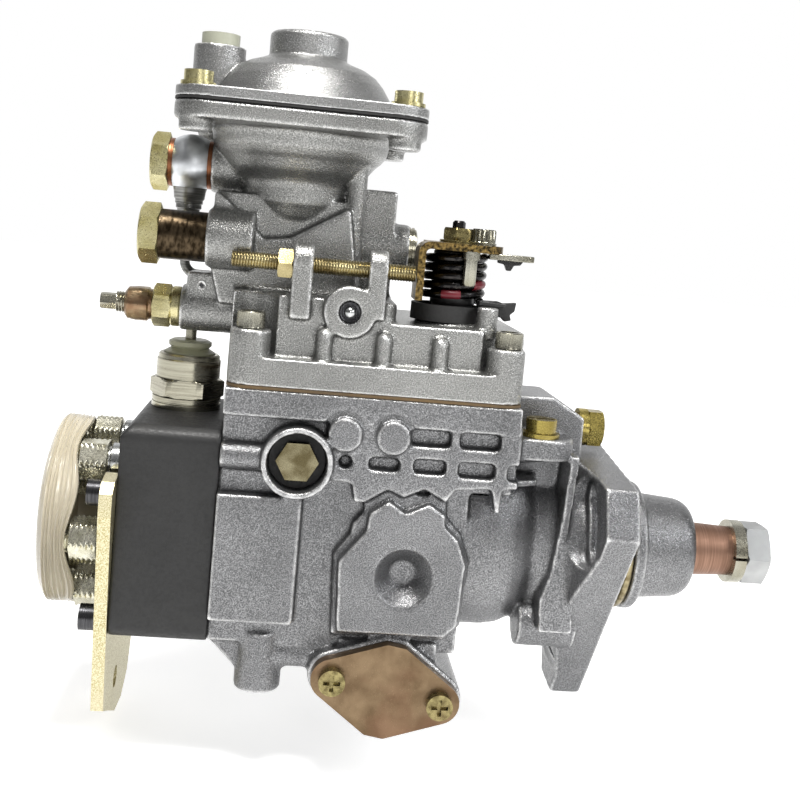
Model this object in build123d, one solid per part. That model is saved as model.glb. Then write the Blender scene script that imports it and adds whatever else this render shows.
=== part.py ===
from build123d import *
import math
import os

os.makedirs("parts", exist_ok=True)

# Rotary diesel injection pump with a boost capsule on its governor cover.
# The origin is on the drive shaft's axis, at the front face of the mounting flange.
# +X runs out of the drive end, +Z is up, and the side with the pivot bolt recess is -Y.

# Drive end
shaft_r = 10.4
taper_end_r = 9.6
hub_exit_x = 37.0
taper_end_x = 54.0
thread_r = 7.0
washer_t = 4.6
washer_r = 12.4
nut_af = 22.0
nut_t = 10.0
shaft_end_x = taper_end_x + washer_t + nut_t - 1.0
run_gap = 0.05
key_w = 4.0
key_l = 9.0
pilot_r = 25.0
pilot_l = 15.0
ring_groove_x = 6.0
ring_groove_w = 4.0
ring_depth = 3.9
nose_r = 20.8
nose_end_r = 19.6
nose_round = 8.0
nose_drop = 5.4
bush_r = 14.0
bush_l = 30.0
bush_x0 = -2.0
seal_r = 13.2
seal_l = 7.0

# Mounting flange
flange_t = 12.0
lobe_out = 61.0
lobe_half = 9.0
lobe_turn = 156.0
lobe_count = 3
hub_disc_r = 38.0
slot_ring_r = 43.0
slot_w = 9.0
slot_sweep = 24.0

# Housing casting
joint_x = -147.0
body_end_x = -36.0
body_half = 35.5
body_floor = -36.0
deck_top = 57.0
deck_t = 10.0
deck_half = 42.0
deck_end_x = -42.0
barrel_r = 36.0
barrel_z = 2.0
barrel_x0 = -57.0
band_floor = 24.0
ridge_x = -20.0
field_lift = 2.0
cavity_r = 29.0
cavity_x0 = joint_x + 6.0
pump_bore_r = 26.0
pump_bore_x1 = -24.0
relief = 5.5
rib_t = 1.8
pad_w = 30.0
pad_top = 19.0
pad_floor = -27.0
pivot_x = -120.0
pivot_z = 32.3
recess_rim_r = 12.7
recess_r = 10.6
recess_y = 45.0
recess_depth = 8.0
boss_r = 6.0
boss_z = 43.3
dimple_x = -79.0
dimple_z = -6.5
dimple_r = 10.8
dimple_flat_r = 3.4
dimple_depth = 9.0
foot_boss_x = -128.0
foot_boss_y = -29.0
foot_boss_r = 8.5
foot_boss_end = -54.0

# Timing device, across the bottom
timing_x = -82.0
timing_z = -47.7
timing_bore_r = 10.0
timing_centre_r = 17.0
timing_ear_r = 7.5
timing_mid_half = 5.0
timing_corner_r = 2.0
timing_screw_r = 4.75
timing_reach = 19.8
timing_tilt = -10.0
timing_face = 40.5
timing_plate_t = 4.5
timing_stroke = 6.0

# Inlet side
ear_x = -32.5
ear_y = -30.0
ear_top = 46.0
inlet_y = -8.0
inlet_z = 47.0
inlet_top = 59.0
inlet_x1 = -14.0
inlet_af = 13.0

# Distributor head
head_l = 35.0
head_half = 37.0
head_top = 40.0
head_floor = -37.0
head_corner = 5.0
spigot_r = 27.9
spigot_l = 6.0
holder_ring_r = 28.5
holder_count = 6
holder_turn = 127.0
holder_r = 7.5
holder_l = 10.0
holder_neck_r = 6.2
holder_neck_l = 6.0
holder_thread_r = 5.6
holder_thread_l = 8.0
head_plug_af = 13.0
cap_r = 35.6
cap_wall = 1.6
cap_l = 11.5
cap_gap = 0.6
plate_t = 4.5
plate_top = 17.0
plate_floor = -66.0
plate_near = -45.0
plate_hole_r = 4.2
plate_hole_y = -7.0
plate_hole_z = -63.0

# Shut-off solenoid on top of the head
solenoid_x = -163.5
collar_r = 12.9
solenoid_af = 24.0
upper_collar_r = 11.9
collar_h = 4.5
solenoid_hex_h = 6.5
upper_collar_h = 9.5
insulator_r = 8.0
terminal_r = 2.05

# Governor cover
gasket_t = 1.0
cover_flange_t = 10.0
cover_x0 = joint_x
cover_x1 = -42.0
cover_half = 42.0
cover_body_half = 36.0
cover_top = 90.0
shoulder_x = -89.0
shoulder_top = 83.0
cover_wall = 5.0
pillar_top = 77.5
pillar_in = 6.5
pillar_r = 7.4
pillar_moat = 1.7
post_wall = 3.2
cap_screw_r = 5.0
cap_screw_h = 6.0
m6_r = 3.0
cover_boss_x = -106.0
cover_boss_z = 86.0
cover_boss_r = 9.2
tower_x0 = -157.0
tower_x1 = -108.0
tower_half = 15.0
tower_front = 20.0
tower_top = 124.0

# Boost capsule
capsule_x = -128.0
bowl_r = 33.0
bowl_wall = 4.0
split_z = 153.9
square_half = 44.0
square_corner = 13.0
lower_flange_t = 6.2
diaphragm_t = 0.8
upper_flange_t = 3.9
capsule_screw_at = 36.0
tube_r = 14.5
tube_top = 184.5
boss_out = 32.5
plug_boss_r = 9.5
plug_boss_top = 177.0
plug_r = 7.0
plug_h = 4.5
bowl_floor_z = 124.0
plate_r = 23.0
boost_pin_r = 4.5
boost_stroke = 5.0

# Connections on the left side of the cover
full_load_y = -10.0
full_load_z = 80.6
full_load_r = 8.4
load_screw_r = 4.0
load_screw_x0 = -196.0
load_screw_x1 = -150.0
load_flat_l = 7.0
load_flat_half = 2.6
return_y = -20.0
return_z = 107.0
return_r = 8.9
banjo_y = 6.0
banjo_z = 133.5
banjo_r = 11.0
banjo_washer_r = 9.0
pipe_r = 1.9
pipe_low_z = 92.0
stop_y = -33.0
stop_z = 101.0
stop_tip_x = -83.8

# Throttle lever
lever_x = -68.0
lever_y = -18.0
lever_shaft_r = 4.0
lever_plate_z = 110.5
lever_plate_t = 2.6
lever_bend = 4.2
spring_r = 10.3
spring_wire = 1.5
spring_turns = 5.0
cup_r = 13.0
cup_top = 90.5

# Governor and cam drive inside the housing
tooth_module = 1.5
drive_teeth = 34
governor_teeth = 24
chamber_x1 = -48.0
gear_x0 = -57.0
gear_w = 7.0
governor_z = tooth_module * (drive_teeth + governor_teeth) / 2
governor_shaft_r = 4.0
cage_r = 14.5
cage_l = 19.0
cage_x0 = gear_x0 - cage_l
sleeve_r = 7.0
sleeve_x1 = cage_x0 + 0.2
sleeve_nose_r = 3.0
sleeve_nose_l = 6.0
lever_half_t = 1.5
lever_face_x = pivot_x + lever_half_t
shaft_x0 = -72.0
claw_half = 2.4
cam_x0 = -103.0
cam_t = 8.5
cam_r = 24.0
ring_x0 = -90.0
ring_t = 14.0
ring_in_r = 16.0
plunger_r = 6.0
cam_stroke = 2.2
plunger_end_x = joint_x - 18.0
claw_l = 7.0
spool_r = 13.0
spool_w = 12.0


def slab(x0, x1, y0, y1, z0, z1):
    centre = Pos((x0 + x1) / 2, (y0 + y1) / 2, (z0 + z1) / 2)
    return centre * Box(x1 - x0, y1 - y0, z1 - z0)


def rod_x(x0, x1, r, y=0.0, z=0.0):
    return Pos((x0 + x1) / 2, y, z) * Rot(0, 90, 0) * Cylinder(r, x1 - x0)


def rod_y(y0, y1, r, x, z):
    return Pos(x, (y0 + y1) / 2, z) * Rot(90, 0, 0) * Cylinder(r, y1 - y0)


def rod_z(z0, z1, r, x, y):
    return Pos(x, y, (z0 + z1) / 2) * Cylinder(r, z1 - z0)


def prism_x(points, x0, x1):
    face = make_face(Polyline(*points, close=True))
    return extrude(Plane.YZ.offset(x0) * face, x1 - x0)


def prism_y(points, y0, y1):
    face = make_face(Polyline(*points, close=True))
    return extrude(Plane.XZ.offset(-y1) * face, y1 - y0)


def prism_z(points, z0, z1):
    face = make_face(Polyline(*points, close=True))
    return extrude(Plane.XY.offset(z0) * face, z1 - z0)


def turned_x(profile, y=0.0, z=0.0):
    """Solid of revolution about a line along X, from (x, radius) points."""
    points = [(profile[0][0], 0.0)] + list(profile) + [(profile[-1][0], 0.0)]
    face = make_face(Polyline(*points, close=True))
    return Pos(0, y, z) * revolve(face, Axis.X)


def turned_z(profile, x, y=0.0):
    """Solid of revolution about a vertical line, from (radius, z) points."""
    points = [(0.0, profile[0][1])] + list(profile) + [(0.0, profile[-1][1])]
    face = Plane.XZ * make_face(Polyline(*points, close=True))
    return Pos(x, y, 0) * revolve(face, Axis.Z)


def hex_x(x0, x1, af, y=0.0, z=0.0, turn=0.0):
    face = Plane.YZ.offset(x0) * Rot(0, 0, turn) * RegularPolygon(af / 2, 6, major_radius=False)
    return Pos(0, y, z) * extrude(face, x1 - x0)


def hex_z(z0, z1, af, x, y, turn=0.0):
    face = Plane.XY.offset(z0) * Rot(0, 0, turn) * RegularPolygon(af / 2, 6, major_radius=False)
    return Pos(x, y, 0) * extrude(face, z1 - z0)


def chamfered_hex_x(x0, x1, af, y=0.0, z=0.0, turn=0.0):
    """Hexagon whose two ends are turned back to a cone, as on a nut."""
    corner = af / 2 / math.cos(math.pi / 6)
    cut = (corner - af / 2) * 0.9
    cone = turned_x([(x0, corner - cut), (x0 + cut * 0.6, corner), (x1 - cut * 0.6, corner), (x1, corner - cut)], y, z)
    return hex_x(x0, x1, af, y, z, turn) & cone


def polar(radius, turn):
    a = math.radians(turn)
    return radius * math.cos(a), radius * math.sin(a)


def solids(*shapes):
    """Separate pieces kept as one group."""
    found = []
    for shape in shapes:
        found.extend(shape.solids())
    return Compound(children=found)


# Flange and drive end of the casting

def flange_plate(x0, x1):
    """Hub disc with three lobes, whose sides run tangent to the disc."""
    plate = rod_x(x0, x1, hub_disc_r)
    far = math.hypot(lobe_out, lobe_half)
    spread = math.degrees(math.atan2(lobe_half, lobe_out))
    reach = math.degrees(math.acos(hub_disc_r / far))
    for k in range(lobe_count):
        turn = lobe_turn + k * 360 / lobe_count
        points = [
            polar(far, turn - spread),
            polar(far, turn + spread),
            polar(hub_disc_r, turn + spread + reach),
            (0, 0),
            polar(hub_disc_r, turn - spread - reach),
        ]
        plate += prism_x(points, x0, x1)
    return plate


def slot_prism(k, x0, x1, width):
    turn = lobe_turn + k * 360 / lobe_count
    arc = CenterArc((0, 0), slot_ring_r, turn - slot_sweep / 2, slot_sweep)
    return extrude(Plane.YZ.offset(x0) * SlotArc(arc, width), x1 - x0)


def flange_slots():
    """Curved bolt slots, one in each lobe."""
    return [slot_prism(k, -flange_t - 1, 1, slot_w) for k in range(lobe_count)]


def nose():
    """Tapered nose with a rounded end, and the pilot that centres the pump."""
    round_x = hub_exit_x - nose_round
    profile = [(0, pilot_r), (pilot_l - 1, pilot_r), (pilot_l, pilot_r - 1), (pilot_l, nose_r), (round_x, nose_end_r)]
    for k in range(1, 6):
        a = math.radians(90 * k / 5)
        profile.append((round_x + nose_round * math.sin(a), nose_end_r - nose_drop * (1 - math.cos(a))))
    return turned_x(profile)


def body_barrel():
    """Round end of the body, closing in towards the flange."""
    neck = barrel_r - 5.5
    return turned_x(
        [(barrel_x0 - 3, barrel_r), (-45, barrel_r), (-39, barrel_r - 1), (-34.5, barrel_r - 3.2), (-31, neck),
         (-20, neck)],
        0, barrel_z,
    )


def flange_flare():
    """Hollow fillet from the body up to the back of the flange, with a pocket round each slot."""
    neck = barrel_r - 5.5
    flare = turned_x([(-33, neck - 2), (-27, neck), (-22, neck + 2.5), (-17.5, 38), (-14, 46), (-flange_t + 0.5, 55)])
    flare = flare & flange_plate(-34, -flange_t + 0.5)
    for k in range(lobe_count):
        flare -= slot_prism(k, -20, -flange_t, slot_w + 6)
    return flare


def flange_webs():
    """Ridge behind the near lobe with the boss below it, and the web of the far lobe."""
    ridge = [
        (ridge_x - 1.2, 40), (ridge_x + 2.2, 40), (ridge_x + 0.8, 16), (ridge_x - 0.8, -2), (ridge_x + 4.3, -13),
        (ridge_x + 6, -26), (ridge_x - 7, -26), (ridge_x - 7.6, -14), (ridge_x - 4.6, -4), (ridge_x - 2.4, 16),
    ]
    webs = prism_y(ridge, -body_half + 0.5, -12)
    webs += rod_x(-33, -flange_t + 1, 9.0, -20, -27)
    far_y, far_z = polar(lobe_out - 4, lobe_turn - 120)
    webs += prism_z([(deck_end_x, barrel_r - 4), (-flange_t, far_y), (-flange_t, barrel_r - 12)], far_z - 12, far_z - 8)
    return webs


# Timing device outline

def timing_screw_at(side):
    dx, dz = polar(timing_reach, timing_tilt)
    return timing_x + side * dx, timing_z + side * dz


def timing_outline(grow=0.0):
    """Straight ended middle and two ears, drawn in the X-Z plane."""
    places = [(*timing_screw_at(-1), timing_ear_r), (*timing_screw_at(1), timing_ear_r)]
    for side in (-1, 1):
        for end in (-1, 1):
            flat = side * (timing_mid_half - timing_corner_r)
            tall = end * (timing_centre_r - timing_corner_r)
            dx, dz = polar(math.hypot(flat, tall), math.degrees(math.atan2(tall, flat)) + timing_tilt)
            places.append((timing_x + dx, timing_z + dz, timing_corner_r))
    edges = []
    for x, z, r in places:
        edges += (Pos(x, z) * Circle(r + grow)).edges()
    return make_hull(edges)


def timing_slab(y0, y1, grow=0.0):
    return extrude(Plane.XZ.offset(-y1) * timing_outline(grow), y1 - y0)


def near_raised_area():
    """Many-sided raised field in two steps on the near wall, with a dished hole."""
    step = [
        (-104.4, -0.5), (-98.9, 7.5), (-98.5, 11.1), (-95, 15.4), (-94.5, 23), (-66, 23), (-65.2, 15), (-59.5, 9.5),
        (-55.8, -0.5), (-56.6, -24), (-63, -30), (-103, -30),
    ]
    top = [
        (-102.7, -2), (-93.8, 9.5), (-93, 16), (-86.4, 20.8), (-80.3, 16.6), (-72.1, 20.7), (-66, 16.8), (-66, 12.8),
        (-60.9, 8.5), (-57.3, -0.4), (-58.3, -22.9), (-63, -27.5), (-101.3, -27.4),
    ]
    face = body_half + relief + field_lift
    field = prism_y(step, -face + 4, -body_half + 1) + prism_y(top, -face, -body_half + 1)
    cone = Cone(dimple_flat_r, dimple_r, dimple_depth)
    return field - Pos(dimple_x, -face + dimple_depth / 2, dimple_z) * Rot(90, 0, 0) * cone


band_pockets = [
    (-80.9, -66.3, 40.9, 47.0), (-63.2, -48.4, 41.0, 47.0), (-94.9, -83.7, 31.2, 35.8), (-79.0, -67.2, 31.0, 36.4),
    (-63.0, -49.5, 30.6, 36.4), (-45.2, -36.0, 30.2, 36.4),
]


def wall_ribs(side):
    """Raised band under the deck, with rounded pockets that leave a grid of ribs."""
    band = [
        (-108, 50), (-108, 26.4), (-100.1, 25.8), (-98.8, 19.1), (-95, 19.4), (-87.3, 24.6), (-81.3, 22.1),
        (-74.2, 25.5), (-66.2, 21.4), (-63.4, 25.9), (-50.2, 27.2), (-48.4, 18.7), (-46.9, 18.7), (-46.3, 27.2),
        (deck_end_x + 1, 27.8), (deck_end_x + 1, 50),
    ]
    y0, y1 = sorted((side * (body_half + relief), side * (body_half - 1)))
    ribs = prism_y(band, y0, y1)
    y0, y1 = sorted((side * (body_half + relief + 1), side * (body_half + 0.8)))
    for x0, x1, z0, z1 in band_pockets:
        face = Pos((x0 + x1) / 2, (z0 + z1) / 2) * RectangleRounded(x1 - x0, z1 - z0, 1.8)
        ribs -= extrude(Plane.XZ.offset(-y1) * face, y1 - y0)
    return ribs - rod_y(y0, y1, 2.4, -103.1, 33.4)


def pivot_boss(side):
    y0, y1 = sorted((side * recess_y, side * (body_half - 1)))
    rim = rod_y(y0, y1, recess_rim_r, pivot_x, pivot_z)
    c0, c1 = sorted((side * recess_y, side * (recess_y - recess_depth)))
    return rim, rod_y(c0, c1, recess_r, pivot_x, pivot_z)


def housing_shell():
    body = slab(joint_x, barrel_x0, -body_half, body_half, body_floor, deck_top)
    body += slab(barrel_x0 - 1, deck_end_x, -body_half, body_half, band_floor, deck_top)
    deck = slab(joint_x, deck_end_x, -deck_half, deck_half, deck_top - deck_t, deck_top)
    body += body_barrel() + flange_plate(-flange_t, 0) + flange_flare() + flange_webs() + nose()
    for side in (-1, 1):
        y0, y1 = sorted((side * (body_half + relief), side * body_half))
        body += slab(joint_x, joint_x + pad_w, y0, y1, pad_floor, pad_top)
        body += wall_ribs(side)
        for x in (-104, -87):
            d0, d1 = sorted((side * (deck_half + 1), side * (body_half + relief)))
            deck -= rod_y(d0, d1, boss_r + 2.6, x, boss_z)
            b0, b1 = sorted((side * (deck_half + 1), side * body_half))
            body += rod_y(b0, b1, boss_r, x, boss_z)
        body += pivot_boss(side)[0]
    body += deck
    body += near_raised_area()
    body += rod_x(joint_x, joint_x + 15, 4.8, -body_half - 1, pivot_z)
    return body


def housing_underside():
    foot = prism_y(
        [(joint_x, body_floor), (-136, -47), (-120, -47), (-108, body_floor), (-108, body_floor + 4),
         (joint_x, body_floor + 4)],
        -body_half + 3, body_half - 3,
    )
    foot += rod_z(foot_boss_end, body_floor + 4, foot_boss_r, foot_boss_x, foot_boss_y)
    foot += rod_x(foot_boss_x, timing_x - 12, 5.0, foot_boss_y - 2, body_floor - 4.2)
    foot += timing_slab(-timing_face, timing_face, 1.2)
    foot += slab(timing_x - 18, timing_x + 18, -timing_face + 3, timing_face - 3, timing_z + 8, body_floor + 4)
    return foot


def inlet_side():
    """Ear platform with a rounded end and the inlet block, behind the flange."""
    end_x = ear_x + 3
    ear = slab(deck_end_x - 2, end_x, -body_half - 2.5, -8, ear_top - 8, ear_top)
    ear += rod_z(ear_top - 8, ear_top, 9.5, end_x, -body_half + 7)
    ear += prism_z([(deck_end_x - 1, -body_half - 3), (-29, -31), (-29, -14), (deck_end_x - 1, -14)], 36.5, ear_top - 4)
    ear += prism_z([(deck_end_x - 1, -body_half - 3), (-32, -32), (-32, -14), (deck_end_x - 1, -14)], 27.8, 30.2)
    block = prism_y(
        [(deck_end_x - 2, 26), (deck_end_x - 2, deck_top - 2), (deck_end_x + 1, deck_top - 2),
         (deck_end_x + 1, inlet_top), (inlet_x1 - 12, inlet_top), (inlet_x1, inlet_z + 5), (inlet_x1, 26)],
        inlet_y - 12, inlet_y + 18,
    )
    return ear + block


def pump_housing():
    body = housing_shell() + housing_underside() + inlet_side()
    # room for the cam drive, the governor and the feed pump
    body -= rod_x(cavity_x0, chamber_x1, cavity_r)
    body -= slab(cavity_x0, chamber_x1, -cavity_r, cavity_r, 0, deck_top + 1)
    body -= rod_x(joint_x - 1, cavity_x0 + 1, spigot_r + run_gap)
    body -= rod_x(chamber_x1 - 1, pump_bore_x1, pump_bore_r)
    body -= rod_x(pump_bore_x1 - 1, hub_exit_x - seal_l, bush_r)
    body -= rod_x(hub_exit_x - seal_l - 0.5, hub_exit_x + 1, seal_r)
    body -= rod_x(chamber_x1 - 1, body_end_x, governor_shaft_r, 0, governor_z)
    # timing bore and the way for the ring's pin
    body -= rod_y(-timing_face - 1, timing_face + 1, timing_bore_r + run_gap, timing_x, timing_z)
    body -= slab(timing_x - 4.2, timing_x + 4.2, -12, 12, timing_z, -cavity_r + 3)
    for side in (-1, 1):
        body -= pivot_boss(side)[1]
        p0, p1 = sorted((side * 27, side * (recess_y - recess_depth)))
        body -= rod_y(p0, p1, pivot_shank_r, pivot_x, pivot_z)
    for cut in flange_slots():
        body -= cut
    body -= turned_x([(ring_groove_x, pilot_r + 1), (ring_groove_x + ring_groove_w, pilot_r + 1)]) - rod_x(
        0, pilot_l, pilot_r - ring_depth
    )
    return body


pivot_shank_r = 5.0
pivot_pin_r = 2.5
pivot_hub_half = 25.0


def pivot_bolts():
    """Hexagon headed pivot bolts, one in each recess, with a pin that carries the governor lever."""
    bolts = []
    for side in (-1, 1):
        seat = recess_y - recess_depth
        shank = rod_y(*sorted((side * 27, side * seat)), pivot_shank_r, pivot_x, pivot_z)
        pin = rod_y(*sorted((side * (pivot_hub_half - 5), side * 27)), pivot_pin_r, pivot_x, pivot_z)
        face = Plane.XZ.offset(-side * seat) * RegularPolygon(6.6, 6, major_radius=False)
        head = extrude(face, amount=-side * 4.5)
        head = Pos(pivot_x, 0, pivot_z) * head
        bolts.append(shank + pin + head)
    return solids(*bolts)


def shaft_bush():
    return rod_x(bush_x0, bush_x0 + bush_l, bush_r) - rod_x(bush_x0 - 1, bush_x0 + bush_l + 1, shaft_r + run_gap)


def shaft_seal():
    x0 = hub_exit_x - seal_l
    ring = rod_x(x0, hub_exit_x - 1.5, seal_r)
    ring -= rod_x(x0 - 1, hub_exit_x, shaft_r + run_gap)
    return ring


def pilot_ring():
    mid = ring_groove_x + ring_groove_w / 2
    r = ring_groove_w / 2 - 0.1
    return Pos(mid, 0, 0) * Rot(0, 90, 0) * Torus(pilot_r - ring_depth + r, r)


def timing_covers():
    """Plates that close the two ends of the timing bore; the far one holds the spring."""
    outer = timing_face + timing_plate_t
    near = timing_slab(-outer, -timing_face) - timing_screws(-1)
    far = timing_slab(timing_face, outer) + rod_y(outer, outer + 3, timing_bore_r, timing_x, timing_z)
    return solids(near, far - timing_screws(1))


def timing_screws(side):
    """Round headed screws of one timing cover, with a cross recess."""
    made = None
    face = timing_face + timing_plate_t
    for end in (-1, 1):
        x, z = timing_screw_at(end)
        shank = rod_y(*sorted((side * (timing_face - 6), side * (face + 0.5))), m6_r - 0.5, x, z)
        head = rod_y(*sorted((side * face, side * (face + 3.4))), timing_screw_r, x, z)
        cross = slab(x - 3, x + 3, *sorted((side * (face + 1.6), side * (face + 4))), z - 0.7, z + 0.7)
        cross += slab(x - 0.7, x + 0.7, *sorted((side * (face + 1.6), side * (face + 4))), z - 3, z + 3)
        screw = shank + head - cross
        made = screw if made is None else made + screw
    return made


def timing_cover_screws():
    return solids(timing_screws(-1), timing_screws(1))


def inlet_plug():
    plug = chamfered_hex_x(inlet_x1 + 3.5, inlet_x1 + 9.5, inlet_af, inlet_y, inlet_z)
    plug += rod_x(inlet_x1, inlet_x1 + 3.5, inlet_af / 2 + 0.6, inlet_y, inlet_z)
    plug += rod_x(inlet_x1 - 8, inlet_x1, 5.0, inlet_y, inlet_z)
    return plug


def ear_screw():
    screw = rod_z(ear_top, ear_top + 1.5, 7.0, ear_x, ear_y)
    screw += rod_z(ear_top + 1.5, ear_top + 6.5, 5.6, ear_x, ear_y)
    screw -= slab(ear_x - 6, ear_x + 6, ear_y - 0.8, ear_y + 0.8, ear_top + 4.8, ear_top + 7)
    return screw + rod_z(ear_top - 6, ear_top, m6_r, ear_x, ear_y)


# Distributor head and what it carries

head_x0 = joint_x - head_l


def head_outline(grow=0.0):
    height = head_top - head_floor
    face = RectangleRounded(2 * head_half + 2 * grow, height + 2 * grow, head_corner)
    return Plane.YZ.offset(head_x0) * Pos(0, (head_top + head_floor) / 2) * face


def holder_at(k):
    return polar(holder_ring_r, holder_turn + k * 360 / holder_count)


def one_holder(k):
    """Delivery valve holder: neck in the head, serrated body and threaded end."""
    y, z = holder_at(k)
    x0 = head_x0 - holder_neck_l
    holder = rod_x(x0, head_x0 + 6, holder_neck_r, y, z)
    holder += rod_x(x0 - holder_l, x0, holder_r, y, z)
    holder += rod_x(x0 - holder_l - holder_thread_l, x0 - holder_l, holder_thread_r, y, z)
    return holder - rod_x(x0 - holder_l - holder_thread_l - 1, head_x0 + 6, 1.5, y, z)


def delivery_valve_holders():
    return solids(*[one_holder(k) for k in range(holder_count)])


def head_plug():
    return chamfered_hex_x(head_x0 - 11, head_x0 - 3, head_plug_af) + rod_x(head_x0 - 3, head_x0 + 8, 5.0)


head_screw_places = [(-31.0, 14.0), (31.0, 22.0), (31.0, -24.0), (-31.0, -31.5)]
head_screw_r = 4.7


def head_screws():
    """Screws through the head, the near ones also through the bracket."""
    made = []
    for y, z in head_screw_places:
        lift = plate_t if y < 0 else 0.0
        top = head_x0 - lift
        screw = rod_x(top - cap_screw_h, top, head_screw_r, y, z)
        screw -= hex_x(top - cap_screw_h - 1, top - cap_screw_h + 3, 5.0, y, z)
        screw += rod_x(top, joint_x, m6_r, y, z)
        made.append(screw)
    return solids(*made)


def rear_bracket():
    """Flat plate bolted to the head's rear face, widening below to a hole for the engine's stay."""
    points = [
        (plate_near, 9), (plate_near, plate_top), (-41, plate_top + 3.5), (-33, plate_top + 5), (-24, plate_top + 3),
        (-20, 2), (-21, head_floor), (34, head_floor - 5), (33, -62), (27, -74), (14, -80), (-2, -79), (-20, -71),
        (plate_near + 13, plate_floor),
    ]
    plate = prism_x(points, head_x0 - plate_t, head_x0)
    plate -= rod_x(head_x0 - plate_t - 1, head_x0 + 1, plate_hole_r, plate_hole_y, plate_hole_z)
    for y, z in head_screw_places:
        plate -= rod_x(head_x0 - plate_t - 1, head_x0 + 1, m6_r, y, z)
    for k in range(holder_count):
        y, z = holder_at(k)
        plate -= rod_x(head_x0 - plate_t - 1, head_x0 + 1, holder_r + 0.8, y, z)
    return plate


def distributor_head():
    block = extrude(head_outline(), head_l)
    ridge = head_top + 2
    block += prism_x(
        [(-head_half + 1, head_top - 3), (-head_half + 4, head_top + 0.3), (-22, ridge), (22, ridge),
         (head_half - 4, head_top + 0.3), (head_half - 1, head_top - 3)],
        head_x0, joint_x,
    )
    block -= prism_y([(head_x0 - 1, head_top - 5), (head_x0 - 1, ridge + 1), (head_x0 + 6, ridge + 1)], -40, 40)
    block += rod_x(joint_x, joint_x + spigot_l, spigot_r)
    block -= rod_x(plunger_end_x - cam_stroke - 2, joint_x + spigot_l + 1, plunger_r + run_gap)
    block -= rod_z(head_top - 12, head_top + 3, 6.0, solenoid_x, 0)
    block -= rod_x(head_x0 - 1, head_x0 + 8, 5.0)
    for k in range(holder_count):
        y, z = holder_at(k)
        block -= rod_x(head_x0 - 1, head_x0 + 6, holder_neck_r, y, z)
    for y, z in head_screw_places:
        block -= rod_x(head_x0 - 1, joint_x + 1, m6_r, y, z)
    return block


def protective_cap():
    """Shallow ribbed cup pushed over the ends of the holders."""
    x1 = head_x0 - holder_neck_l - holder_l - cap_gap
    x0 = x1 - cap_l
    profile = [(x0, cap_r - 4), (x0 + 1.2, cap_r - 1.2), (x0 + 4, cap_r), (x1, cap_r)]
    cup = turned_x(profile)
    cup -= rod_x(x0 + cap_wall, x1 + 1, cap_r - cap_wall)
    grip = [rod_x(x0 + cap_wall, x1 - 1, holder_thread_r + 1.6, *holder_at(k)) for k in range(holder_count)]
    for k, sleeve in enumerate(grip):
        cup += sleeve & rod_x(x0, x1, cap_r - 0.2)
    for k in range(holder_count):
        y, z = holder_at(k)
        cup -= rod_x(x0 + cap_wall + 1, x1 + 1, holder_thread_r + 0.02, y, z)
    return cup


def solenoid_body():
    z = head_top + 2
    hex_top = z + collar_h + solenoid_hex_h
    body = rod_z(z, z + collar_h, collar_r, solenoid_x, 0)
    body += hex_z(z + collar_h, hex_top, solenoid_af, solenoid_x, 0, 12)
    body += rod_z(hex_top, hex_top + upper_collar_h, upper_collar_r, solenoid_x, 0)
    body += rod_z(head_top - 10, z, 6.0, solenoid_x, 0)
    return body - rod_z(hex_top + upper_collar_h - 2, hex_top + upper_collar_h + 1, upper_collar_r - 2.4, solenoid_x, 0)


solenoid_top = head_top + 2 + collar_h + solenoid_hex_h + upper_collar_h


def solenoid_insulator():
    """Flanged plug seated in the open end of the solenoid."""
    z = solenoid_top - 2
    r = upper_collar_r - 2.4
    plug = turned_z([(r, z), (r, z + 2.5), (r - 2.5, z + 4.0), (insulator_r - 0.8, z + 4.3), (insulator_r, z + 5.0),
                     (insulator_r, z + 6.4), (insulator_r - 1.5, z + 7.2)], solenoid_x)
    return plug - rod_z(z - 1, z + 9, terminal_r, solenoid_x, 0)


def solenoid_terminal():
    z = solenoid_top - 2
    return rod_z(z, z + 14, terminal_r, solenoid_x, 0)


# Governor cover

def pillar_places():
    x0 = cover_x0 + pillar_in + 0.5
    x1 = cover_x1 - pillar_in
    return [(x, side * (cover_half - pillar_in)) for x in (x0, x1) for side in (-1, 1)]


def rounded_plate(x0, x1, half, z0, z1, corner):
    face = Pos((x0 + x1) / 2, 0) * RectangleRounded(x1 - x0, 2 * half, corner)
    return extrude(Plane.XY.offset(z0) * face, z1 - z0)


def capsule_square(z0, z1, grow=0.0):
    side = 2 * square_half + 2 * grow
    face = Pos(capsule_x, 0) * RectangleRounded(side, side, square_corner)
    return extrude(Plane.XY.offset(z0) * face, z1 - z0)


def capsule_screw_places():
    at = capsule_screw_at
    return [(capsule_x + sx * at, sy * at) for sx in (-1, 1) for sy in (-1, 1)]


def bowl_outside():
    """Round bowl with stepped rings and a rounded bottom."""
    under = split_z - lower_flange_t
    return turned_z(
        [(6, 110.8), (12, 113), (16.5, 117.2), (18.6, 121), (19.6, 122.2), (20.2, 129.3), (21.6, 131), (25.5, 134),
         (28.6, 138), (30.2, 139.2), (32.4, 142), (bowl_r, 146), (bowl_r + 1, under), (bowl_r + 1, split_z)],
        capsule_x,
    )


def bowl_inside():
    low = bowl_floor_z
    return turned_z(
        [(13, low), (15, low + 2), (16, low + 7), (21.5, low + 13), (27.5, low + 18.5), (28, split_z + 1)],
        capsule_x,
    )


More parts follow.
